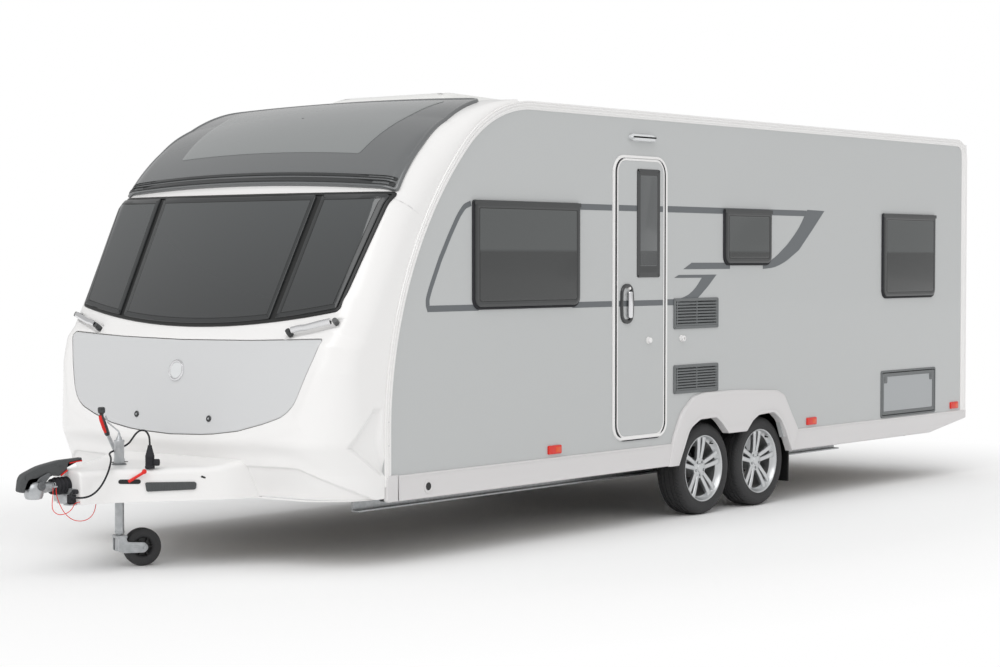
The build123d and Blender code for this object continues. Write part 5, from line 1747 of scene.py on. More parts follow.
@dataclass
class Vents:
    """The two fridge grilles: a rounded surround, raked slats and upright bars.

    Attributes:
        spots: Lower front and upper rear corners in y and z.
        slats: Slats in each grille.
    """

    spots: tuple[Corner, ...] = mm((128, 1184, 621, 1374), (128, 784, 621, 961))
    slats: int = 8

    def build(self) -> None:
        """Build both grilles."""
        place = on_side(Side.LEFT)
        surround, dark = shapes(2)
        for a, b, c, d in self.spots:
            loop = box_loop((a, b), (c, d), 0.012)
            surround.rim(
                loop, place, mm((0, -1), (0, 6), (2, 8.5), (16, 9), (18.5, 7.5), (20, -12)), cap=False,
            )
            # Painted shade: a black sheet closes each grille from behind, standing for the shade inside
            # the vent.
            dark.rim(loop, place, mm((19, -10), (22, -10)))
            pitch = (d - b - 0.04) / self.slats
            run = np.linspace(a + 0.02, c - 0.02, 2)
            for row in range(self.slats):
                z = b + 0.02 + pitch * row
                rake = [
                    (z, 0.0085), (z + 0.35 * pitch, 0.0088), (z + 0.5 * pitch, 0.0078),
                    (z + 0.95 * pitch, -0.006), (z, 0.0025),
                ]
                line = np.array(rake)
                rows = place(run[None].repeat(5, 0), line[:, :1].repeat(2, 1), line[:, 1:].repeat(2, 1))
                surround.grid(rows, wrap_rows=True, wrap=False)
            for y in (a + 0.03, (a + c) / 2.0, c - 0.03):
                surround.rim(
                    box_loop((y - 0.004, b + 0.018), (y + 0.004, d - 0.018)), place,
                    mm((0, -8), (0, 9.2)),
                )
        surround.make("vent_grilles", Look.TRIM, replaces=["fridge_vents"])
        dark.make("vent_backs", Look.BLACK)


@dataclass
class Skirts:
    """White side skirts with a lip along the top, their end blocks, jack points and the wheel spats.

    Attributes:
        front: Front skirt in y and z.
        rear: Rear skirt.
        spat: Outer line of the moulded spat.
        arches: Inner line over both wheels.
    """

    front: tuple[Corner, ...] = mm((-2418, 343, 10), (70, 343), (120, 480), (-2418, 480, 6))
    rear: tuple[Corner, ...] = mm(
        (1488, 343), (3427, 343, 80), (3993, 421, 10), (3993, 482, 6), (1577, 482),
    )
    spat: tuple[Corner, ...] = mm(
        (64, 341.5), (118, 515, 120), (205, 668, 200), (334, 760, 90), (450, 781.5, 400),
        (890, 778, 3000), (1327, 754, 200), (1405, 722, 50), (1483, 610), (1581, 480, 20), (1489, 341.5),
    )
    arches: tuple[Corner, ...] = mm(
        (165, 341.5), (219, 435, 600), (290, 562, 120), (400, 613, 90), (584, 616, 50), (645, 578),
        (728, 506, 15), (938, 506, 15), (1009, 570), (1080, 604, 80), (1265, 612, 70), (1350, 560, 120),
        (1414, 474), (1488, 341.5),
    )

    def build(self) -> None:
        """Build both sides."""
        skirts, caps, holes = shapes(3)
        lip = mm((0, -2), (0, 6), (2, 10.5), (6, 12.5), (12, 11.5), (16, 9.5), (20, 9.2))
        for side in Side:
            place = on_side(side)
            skirts.rim(dense(rounded(self.front), 0.2), place, lip)
            skirts.rim(dense(rounded(self.rear), 0.2), place, lip)
            end = bent((-2513, 343, 20), (-2420, 343, 4), (-2420, 484, 6), (-2513, 484, 30))
            caps.rim(end, place, mm((0, -10), (0, 8), (3, 12.8), (9, 13.9)))
            ring = disc_loop((-2.181, 0.404), 0.036, 40)
            caps.rim(ring, place, mm((0, 8), (0, 12.5), (3, 13.5), (12, 12.8), (15, 10.5)), cap=False)
            # Painted shade: a black disc fills each jack point's ring, standing for the shade in the
            # opening.
            holes.rim(ring, place, mm((14, 10.8), (18, 11.2), (20, 11.2)))
        # Skirts and their ends take the white moulding darkened as painted shade.
        skirts.make("side_skirts_seen", Look.SKIRT, replaces=["side_skirts"])
        caps.make("skirt_ends", Look.SKIRT)
        holes.make("jack_holes", Look.BLACK)
        self.spats()

    def spats(self) -> None:
        """Build the spats: a net between the outer line and the arches with rolled edges.

        Both lines are read at equal shares of their length; between them the surface rises from
        the wall, runs flat, dips behind a bead along the arch and turns in.
        """
        count = 260
        share = np.linspace(0.0, 1.0, count)
        lines = []
        for corners in (self.spat, self.arches):
            line = dense(rounded(corners, closed=False), 0.01, closed=False)
            reach = np.concatenate([[0.0], np.cumsum(np.linalg.norm(np.diff(line, axis=0), axis=1))])
            reach /= reach[-1]
            lines.append(np.stack([np.interp(share, reach, line[:, i]) for i in (0, 1)], 1))
        outer, inner = lines
        steps = np.array([
            (0.0, 0.0), (0.0, 0.008), (0.02, 0.016), (0.06, 0.0205), (0.12, 0.0222), (0.3, 0.0228),
            (0.6, 0.0228), (0.8, 0.0226), (0.84, 0.02), (0.88, 0.02), (0.92, 0.0226), (0.97, 0.0228),
            (0.995, 0.0205), (1.0, 0.014), (1.0, -0.03),
        ])
        spats = Shape()
        net = outer[None] + steps[:, 0, None, None] * (inner - outer)[None]
        for side in Side:
            rows = on_side(side)(net[..., 0], net[..., 1], steps[:, 1, None].repeat(count, 1))
            spats.grid(rows, wrap=False)
            for column in (0, -1):
                spats.cap(rows[:, column])
        # The spats take the white moulding darkened as painted shade.
        spats.make("wheel_spats_seen", Look.SKIRT, replaces=["wheel_spats"])


@dataclass
class Lamps:
    """Marker lamps, the awning lamp over the door and the rear clusters.

    Attributes:
        markers: Where the marker lamps sit along the flank.
        height: Middle height of the markers.
    """

    markers: tuple[float, ...] = (-1.072, 1.763, 3.814)
    height: float = 0.524

    def build(self) -> None:
        """Build every lamp."""
        beds, lenses, clear, red, amber = shapes(5)
        for side in Side:
            place = on_side(side)
            for y in self.markers:
                low, high = (y - 0.061, self.height - 0.025), (y + 0.061, self.height + 0.025)
                lenses.rim(box_loop(low, high, 0.008), place, mm((0, 0), (0, 7), (2, 10.5), (6, 11.8)))
                amber.rim(
                    box_loop((y + 0.004, low[1] + 0.01), (y + 0.046, high[1] - 0.01), 0.004), place,
                    mm((0, 11), (0, 12.2), (2, 13)),
                )
        place = on_side(Side.LEFT)
        lamp = bent(
            (-369, 2345, 20), (-300, 2322, 30), (-130, 2322, 30), (-65, 2345, 20), (-120, 2366, 30),
            (-310, 2366, 30),
        )
        beds.rim(lamp, place, mm((0, 0), (0, 10), (3, 20), (9, 27), (16, 29.5)))
        clear.rim(box_loop((-0.33, 2.325), (-0.105, 2.337), 0.005), place, mm((0, 16), (0, 26), (2, 28)))
        for side in (1.0, -1.0):
            x = sorted((side * 0.82, side * 1.03))
            beds.rim(
                box_loop((x[0], 0.66), (x[1], 1.0), 0.04), on_rear,
                mm((0, 0), (0, 12), (4, 18), (12, 19)),
            )
            for z, shape in ((0.735, red), (0.83, amber), (0.925, red)):
                middle = ((x[0] + x[1]) / 2.0, z)
                shape.rim(
                    disc_loop(middle, 0.042, 40), on_rear,
                    mm((0, 18), (0, 21.5), (6, 23.8), (16, 24.5), (18, 23.5), (22, 24.3)),
                )
        beds.make("lamp_housings", Look.CLEAR, replaces=["lamps"])
        lenses.make("marker_lenses", Look.LAMP)
        amber.make("amber_lenses", Look.AMBER)
        clear.make("awning_lens", Look.CLEAR)
        red.make("rear_lenses", Look.LAMP)


# ---- road wheels
@dataclass
class RoadWheel:
    """One road wheel: grooved tyre, dished alloy with five pairs of spokes, hub and bolts.

    Attributes:
        side: Flank it runs on.
        place: Front or rear.
        along: Place of its axle along the caravan.
        middle: Distance of the tyre's middle from the caravan's middle.
        radius: Tyre radius.
        pairs: Pairs of spokes.
        blocks: Tread blocks round the shoulder.
        wall: Sidewall from bead to shoulder, as reach and radius.
        grooves: Reach of the grooves from the tyre's middle.
        barrel: Section of the rim, as radius and reach.
    """

    side: Side
    place: str
    along: float
    middle: float = 0.9875
    radius: float = 0.2925
    pairs: int = 5
    blocks: int = 72
    wall: tuple[Corner, ...] = mm(
        (74.5, 204.5), (83, 208), (86.8, 215), (89, 223.5), (90.2, 224.1), (90.5, 226.6), (90, 227.4),
        (92.1, 240), (92.5, 248), (91.4, 257), (88.5, 265.5), (83.8, 274.2), (78.2, 280.8), (72.2, 285.7),
        (66, 288.6),
    )
    grooves: tuple[float, ...] = (0.046, 0.0185)
    barrel: tuple[Corner, ...] = mm(
        (206.5, -83), (210.5, -80), (204, -73), (193, -64), (185, -30), (183, 20), (186, 50), (193, 66),
        (200, 72.5), (206, 73.5), (207.5, 79), (210.5, 83), (208.5, 85.2), (203.5, 83.5), (199, 77.5),
        (195, 66.5), (187.5, 58), (178, 50), (177, 0), (178, -40), (188, -66), (199, -78), (206.5, -83),
    )

    def round_(self, radius: Array, angle: Array, reach: Array) -> Array:
        """The point at a radius and an angle about the axle, and a reach outwards."""
        x = self.side.value * (self.middle + reach)
        return spot_of(x, self.along + radius * np.cos(angle), self.radius + radius * np.sin(angle))

    def spoke_point(self, turn: float, far: Array, off: Array, reach: Array) -> Array:
        """The point at a distance along and off a line that leaves the axle at an angle.

        Args:
            turn: Angle of the line.
            far: Distance from the axle.
            off: Distance beside the line.
            reach: Distance outwards.

        Returns:
            Points in space.
        """
        y = self.along + far * math.cos(turn) - off * math.sin(turn)
        z = self.radius + far * math.sin(turn) + off * math.cos(turn)
        return spot_of(self.side.value * (self.middle + reach), y, z)

    def tyre(self, body: str) -> None:
        """Build the tyre: its section is turned round, and narrow cuts cross the tread.

        A cut takes the shoulder down by four millimetres and the ribs by two for a sixth of each
        block, and it leans back with the square of the distance from the middle.

        Args:
            body: Body that it rides on.
        """
        half = [*self.wall]
        for groove in self.grooves:
            half += [
                (groove + 0.0048, 0.0), (groove + 0.0036, -1.0), (groove - 0.0036, -1.0),
                (groove - 0.0048, 0.0),
            ]
        line = np.array([*half, (0.0, 0.0), *[(-a, b) for a, b in half[::-1]]])
        reach, radius = line[:, 0], line[:, 1].copy()
        crown = self.radius - 0.0039 * (reach / 0.066) ** 2
        radius = np.where(radius <= 0.0, crown + 0.0068 * radius, radius)
        phase = np.array([0.0, 0.03, 0.17, 0.2, 0.6])
        angle = ((np.arange(self.blocks)[:, None] + phase) * math.tau / self.blocks).ravel()
        cut = np.tile([0.0, 1.0, 1.0, 0.0, 0.0], self.blocks)
        far = np.abs(reach)
        depth = np.where(far > 0.05, 0.0042, 0.0022) * (far < 0.079) * (line[:, 1] >= 0.0)
        radius = radius[:, None] - depth[:, None] * cut[None]
        lean = 0.9 * math.tau / self.blocks * np.minimum(far / 0.066, 1.3) ** 2
        rows = self.round_(radius, angle[None] + lean[:, None], reach[:, None])
        tyre = Shape().grid(rows, wrap_rows=True)
        name = body.replace("wheel", "tyre")
        tyre.make(f"{name}_seen", Look.TYRE, body, [name], sharp=math.radians(28))

    def spokes(self, alloy: Shape) -> None:
        """Add the spokes: each section is a crowned bar that widens and stands out towards the rim.

        Args:
            alloy: Shape that takes them.
        """
        far = np.linspace(0.044, 0.1965, 12)
        bar = np.array([
            (-0.5, -0.021), (-0.5, -0.0045), (-0.43, -0.0012), (-0.3, 0.0004), (0.3, 0.0004),
            (0.43, -0.0012), (0.5, -0.0045), (0.5, -0.021), (0.3, -0.029), (-0.3, -0.029),
        ])
        width = np.interp(far, [0.044, 0.12, 0.17, 0.1965], [0.027, 0.029, 0.032, 0.04])
        lean = np.interp(far, [0.044, 0.1965], [0.0145, 0.03])
        face = np.interp(far, [0.044, 0.07, 0.12, 0.17, 0.1965], [0.052, 0.056, 0.064, 0.069, 0.07])
        for pair in range(self.pairs):
            turn = math.pi / 2.0 + pair * math.tau / self.pairs
            for way in (-1.0, 1.0):
                off = way * lean[:, None] + width[:, None] * bar[None, :, 0]
                rows = self.spoke_point(
                    turn, far[:, None] + 0 * off, off, face[:, None] + bar[None, :, 1],
                )
                alloy.grid(rows).cap(rows[0][::-1]).cap(rows[-1])

    def build(self) -> None:
        """Build the whole wheel."""
        body = f"wheel_{self.place}_{self.side.name.lower()}"
        self.tyre(body)
        centre = (self.side.value * self.middle, self.along, self.radius)
        axis = (self.side.value, 0.0, 0.0)
        alloy, bolts, dark = shapes(3)
        alloy.lathe(self.barrel, centre, axis, 96)
        hub = mm((0, 60.5), (18, 60.2), (26.5, 58.5), (28.5, 55), (30, 53.5), (31.5, 54.8))
        hub += mm((56, 54.5), (64, 50), (67, 40), (64, 10), (58, -80), (0, -80))
        alloy.lathe(hub, centre, axis, 60)
        self.spokes(alloy)
        for number in range(self.pairs):
            turn = math.pi * 1.5 + number * math.tau / self.pairs
            spot = self.spoke_point(turn, np.array(0.0445), np.array(0.0), np.array(0.0))
            # Painted shade: a black disc round each bolt stands for the shade in its recess.
            dark.lathe(mm((0, 55.1), (9, 55.1), (9.5, 54), (0, 54)), spot, axis, 24)
            bolts.lathe(mm((6.8, 54.5), (6.8, 58.8), (5, 60.5), (0, 60.5)), spot, axis, 6)
        valve = self.spoke_point(math.pi * 0.3, np.array(0.186), np.array(0.0), np.array(0.0))
        dark.lathe(mm((4.5, 50), (4.5, 78), (3, 81), (0, 81)), valve, axis, 14)
        name = body.replace("wheel", "rim")
        alloy.make(f"{name}_seen", Look.ALLOY, body, [name], sharp=math.radians(30))
        bolts.make(f"{name}_bolts", Look.ZINC, body)
        # This dark piece holds the painted shade round the bolts and the real black valve.
        dark.make(f"{name}_bolt_wells", Look.BLACK, body)


@dataclass
class RoadWheels:
    """The four road wheels.

    Attributes:
        spots: Axle places along the caravan.
    """

    spots: tuple[tuple[str, float], ...] = (("front", 0.542), ("rear", 1.196))

    def build(self) -> None:
        """Build every wheel."""
        for side in Side:
            for place, along in self.spots:
                RoadWheel(side, place, along).build()


# ---- drawbar
@dataclass
class DrawbarCover:
    """The moulded cover over the drawbar.

    Attributes:
        plan: Half of its plan as place and half-width, with corner radii.
        foot: Height of its lower edge.
        top: Height of its top.
        bend: Radius of its long upper edges.
        wall: Thickness of the moulding.
    """

    plan: tuple[Corner, ...] = mm((-3705, 118), (-3560, 150, 450), (-3050, 500, 350), (-2860, 560))
    foot: float = 0.365
    top: float = 0.535
    bend: float = 0.034
    wall: float = 0.006

    def ring(self, y: Array, half: Array, inset: object) -> Array:
        """Half-round hat sections at places y: up one side, over the crowned top, down the other.

        Args:
            y: Places along the cover.
            half: Half-width at each place.
            inset: Distance inwards from the outer face.

        Returns:
            Sections of shape (places, points, 3).
        """
        angle = np.linspace(0.0, math.pi / 2.0, 9)
        inset = np.broadcast_to(inset, y.shape)[:, None]
        half = half[:, None] - inset
        top = (self.top + 0.028 * smooth(-3.13, -2.93, y))[:, None] - inset
        side = np.array([self.foot, self.foot + 0.05])[None] + 0 * half
        x = np.concatenate([half + 0 * side, half - self.bend * (1.0 - np.cos(angle))], 1)
        z = np.concatenate([side, top - self.bend * (1.0 - np.sin(angle))], 1)
        over = np.linspace(1.0, 0.0, 8)[1:]
        x = np.concatenate([x, (half - self.bend) * over], 1)
        z = np.concatenate([z, top + 0.004 * (1.0 - over**2)], 1)
        lean = 0.01 * (z - self.foot) / (self.top - self.foot)
        x = np.maximum(x - lean * (x > 0.02), 0.0)
        x = np.concatenate([x, -x[:, -2::-1]], 1)
        z = np.concatenate([z, z[:, -2::-1]], 1)
        return np.stack([x, y[:, None] + 0 * x, z], -1)

    def edge(self) -> tuple[Array, Array]:
        """Places and half-widths along the plan."""
        line = dense(rounded(self.plan, closed=False), 0.02, closed=False)
        return line[:, 0], line[:, 1]

    def on_flank(self, side: float) -> Place:
        """Place for things on the slanted flank, in y and z.

        Args:
            side: 1 for the door side, -1 for the other.

        Returns:
            Maps (y, z, height) onto the flank.
        """
        y, half = self.edge()
        slope = np.gradient(half, y)

        def place(a: Array, b: Array, h: Array) -> Array:
            """Move out from the flank by h.

            Args:
                a: Place along the caravan.
                b: Height.
                h: Distance out from the flank.

            Returns:
                Points in space.
            """
            lean = np.interp(a, y, slope)
            size = np.sqrt(1.0 + lean**2)
            x = np.interp(a, y, half) - 0.01 * (b - self.foot) / (self.top - self.foot)
            return spot_of(side * (x + h / size), a - h * lean / size, b)

        return place

    def build(self) -> None:
        """Build the cover, its front wall, the strips and the slots."""
        y, half = self.edge()
        nose = np.array([0.0, 0.0012, 0.005, 0.012])
        rows_y = np.concatenate([y[0] + nose, y[y > y[0] + 0.013]])
        rows_half = np.interp(rows_y, y, half)
        inset = np.concatenate([[0.013, 0.0065, 0.0016, 0.0], np.zeros(len(rows_y) - 4)])
        outer = self.ring(rows_y, rows_half, inset)
        inner = self.ring(rows_y, rows_half, inset + self.wall)
        inner[..., 2] = np.maximum(inner[..., 2], self.foot)
        cover = Shape().grid(np.concatenate([outer, inner[:, ::-1]], 1))
        for end in (0, -1):
            cover.grid(np.stack([outer[end], inner[end]]), wrap=False)
        face = outer[0]
        cover.rim(face[:, [0, 2]], on_front, mm((0.5, 3698), (0.5, 3704.9)), back=True)
        cover.make("drawbar_cover_seen", Look.WHITE, replaces=["drawbar_cover"], sharp=CRISP)
        strips, slots, seat = shapes(3)
        for side in (1.0, -1.0):
            place = self.on_flank(side)
            pad = dense(bent((-3395, 418, 8), (-3185, 422, 12), (-3180, 462, 12), (-3400, 466, 8)), 0.03)
            strips.rim(pad, place, mm((0, -2), (0, 6), (2, 9), (4, 9.6)), rings=3, cap=False)
            for row in np.linspace(-3.38, -3.2, 15):
                rib = box_loop((row, 0.424), (row + 0.006, 0.459), 0.002)
                strips.rim(rib, place, mm((0, 8), (0.5, 11.2)))
            # Painted shade: the slot and the small hole are raised black patches that stand for the shade
            # inside the openings.
            slot = bent((-3515, 462, 11), (-3420, 458, 11), (-3415, 482, 11), (-3510, 484, 11))
            slots.rim(slot, place, mm((0, -1), (0, 1.8), (1, 2.4), (3.5, 2.2), (4.5, 0.8)))
            hole = bent((-3162, 484, 3), (-3142, 476, 3), (-3140, 484, 3), (-3158, 494, 3))
            slots.rim(hole, place, mm((0, -1), (0, 1.6)))
        seat.lathe(
            mm((28.2, 530), (28.2, 545), (33.5, 546), (38, 542.5), (39.5, 536), (39.5, 530), (28.2, 530)),
            (*JOCKEY, 0.0), UP, 40,
        )
        strips.make("cover_strips", Look.GREY)
        slots.make("cover_slots", Look.BLACK)
        seat.make("sleeve_collar", Look.TRIM)


@dataclass
class Coupling:
    """The coupling head with its ball cup, friction pads, long handle and rubber bellows.

    Attributes:
        handle: Outline of the handle in y and z, with corner radii.
        ball: Place of the ball's middle in y and z.
    """

    handle: tuple[Corner, ...] = mm(
        (-4021.5, 452, 12), (-4008.5, 530, 50), (-3890, 572, 300), (-3762, 591.5, 300), (-3614, 596.5, 5),
        (-3612, 577.5, 5), (-3706, 570.5, 12), (-3714, 538, 10), (-3762, 512, 20), (-3860, 522, 60),
        (-3962, 498, 30), (-3985, 441, 10),
    )
    ball: Corner = (-3.915, 0.452)

    def across(self, a: Array, b: Array, h: Array) -> Array:
        """Where (y, z, x) lies; the handle is narrower towards its grip."""
        wide = np.interp(a, [-4.03, -3.97, -3.8, -3.7, -3.61], [0.62, 1.0, 1.0, 0.8, 0.66])
        return spot_of(h * wide, a, b)

    def build(self) -> None:
        """Build every piece of the head."""
        (y, z), (head, pads, handle, red) = self.ball, shapes(4)
        cup = mm((0, -2), (16, -6), (25.2, -18), (25.2, -46), (31, -47.5), (41, -44))
        cup += mm((47.5, -30), (50, -10), (49.5, 8), (44, 26), (32, 38), (16, 44), (0, 45))
        head.lathe(cup, (0.0, y, z), UP, 56)
        neck = np.array(
            [
                (0.0, y + 0.02, z + 0.006), (0.0, y + 0.06, z + 0.008), (0.0, y + 0.11, z + 0.008),
                (0.0, -3.705, z + 0.008),
            ],
        )
        head.tube(neck, [0.036, 0.03, 0.0255, 0.0252], 28)
        strap = bent(
            (-3935, 470, 20), (-3905, 452, 20), (-3850, 500, 30), (-3828, 522, 12), (-3842, 536, 12),
            (-3905, 512, 30),
        )
        for way in (1.0, -1.0):
            flank = lambda a, b, h: spot_of(way * h, a, b)
            pads.rim(strap, flank, mm((0, 25.5), (0, 31), (2, 33), (5, 33.5)))
            pads.lathe(
                mm(
                    (0, 46), (21.5, 46), (23.5, 50), (23.5, 54.5), (21, 57.5), (12, 58.2), (10, 56),
                    (0, 56),
                ),
                (0.0, -3.905, 0.474), (way, 0, 0), 36,
            )
            red.rim(
                ribbon(np.array(mm((-3760, 514.5), (-3738, 526.5), (-3717, 538.5))), 0.0065), flank,
                mm((0, 20.5), (0, 25.6), (1, 26)),
            )
            red.rim(
                ribbon(np.array(mm((-3700, 573.5), (-3655, 577.5), (-3616.5, 579.5))), 0.006), flank,
                mm((0, 13), (0, 19), (1, 19.4)),
            )
        line = rounded(self.handle)
        sides = mm(
            (10, -24), (3.5, -22.6), (1, -19.5), (0, -15), (0, 15), (1, 19.5), (3.5, 22.6), (10, 24),
        )
        handle.rim(dense(line, 0.02), self.across, sides, back=True)
        grip = bent(
            (-3985, 505, 12), (-3965, 507, 10), (-3860, 533, 30), (-3775, 535, 10), (-3775, 575, 10),
            (-3880, 560, 50), (-3985, 528, 12),
        )
        for way in (1.0, -1.0):
            flank = lambda a, b, h: spot_of(way * h, a, b)
            handle.rim(dense(grip, 0.03), flank, mm((0, 23.5), (0.5, 25), (3, 25.6)))
        head.make("coupling_head_seen", Look.ZINC, replaces=["coupling_head"], sharp=math.radians(40))
        pads.make("friction_pads", Look.CAST)
        handle.make("coupling_handle", Look.GREY, replaces=["coupling_lever"])
        red.make("coupling_marks", Look.RED)
        self.bellows()

    def bellows(self) -> None:
        """Build the bellows, the bracket below them and the cable's gland."""
        y = np.linspace(0.0, 1.0, 61)
        radius = 0.0405 + 0.0055 * np.cos(y * math.tau * 4.0) - 0.006 * smooth(0.12, 0.0, y)
        profile = [(0.0258, 0.0), *zip(radius, 0.095 * y), (0.0258, 0.095)]
        rubber = Shape().lathe(profile, (0.0, -3.802, 0.46), AHEAD, 44)
        rubber.lathe(
            mm((0, -4), (12, -4), (12.5, -30), (8, -34), (0, -34)), (0.088, -3.7055, 0.432), AHEAD, 24,
        )
        rubber.block((0.046, -3.742, 0.372), (0.078, -3.706, 0.418), 0.004)
        rubber.make("coupling_bellows", Look.RUBBER, replaces=["coupling_gaiter"])
        bracket = Shape().block((-0.04, -3.738, 0.366), (0.044, -3.706, 0.42), 0.004)
        bracket.block((0.03, -3.752, 0.362), (0.084, -3.704, 0.369), 0.002)
        bracket.make("coupling_bracket", Look.ZINC)


@dataclass
class HandLevers:
    """The handbrake lever with its red release, and the red clamp lever of the jockey wheel.

    Attributes:
        across: Place of the handbrake.
    """

    across: float = -0.11

    def path(self, *spots: Corner) -> Array:
        """Points in y and z on the handbrake's plane."""
        return np.array([(self.across, y, z) for y, z in spots])

    def build(self) -> None:
        """Build both levers."""
        steel, black, red = shapes(3)
        steel.tube(
            self.path((-3.25, 0.54), (-3.262, 0.566), (-3.3, 0.63), (-3.34, 0.7)),
            [0.013, 0.012, 0.0105, 0.0095], 20,
        )
        steel.block((self.across - 0.014, -3.286, 0.532), (self.across + 0.014, -3.226, 0.56), 0.006)
        black.tube(
            self.path(
                (-3.334, 0.688), (-3.338, 0.696), (-3.355, 0.735), (-3.374, 0.778), (-3.376, 0.786),
            ),
            [0.012, 0.0145, 0.015, 0.0145, 0.012], 24,
        )
        black.tube(
            self.path((-3.376, 0.782), (-3.376, 0.795), (-3.376, 0.806)), [0.0135, 0.011, 0.0105], 24,
        )
        knob = mm(
            (0, 802), (13.5, 803), (18.5, 808), (20, 816), (20, 828), (18, 835.5), (13, 838), (0, 838.5),
        )
        black.lathe(knob, (self.across, -3.376, 0.0), UP, 36)
        black.block((self.across - 0.026, -3.3, 0.533), (self.across + 0.026, -3.215, 0.542), 0.003)
        release = np.array(
            [
                (self.across + 0.004, y, z)
                for y, z in mm((-3352, 703), (-3362, 722), (-3384, 772), (-3390, 793))
            ],
        )
        red.tube(release, [0.0075, 0.0092, 0.0092, 0.008], 18)
        arm = np.array(mm((206, -3468, 472), (216, -3460, 479), (240, -3441.5, 498), (268, -3420, 520)))
        red.tube(arm, [0.0085, 0.0078, 0.007, 0.0085], 18)
        ball = mm((0, -13), (6.5, -11.3), (11.3, -6.5), (13, 0), (11.3, 6.5), (6.5, 11.3), (0, 13))
        red.lathe(ball, (0.27, -3.418, 0.524), UP, 28)
        steel.make("hand_lever_steel", Look.ZINC, replaces=["hand_levers"])
        black.make("hand_lever_grip", Look.EDGE)
        red.make("hand_lever_red", Look.RED)


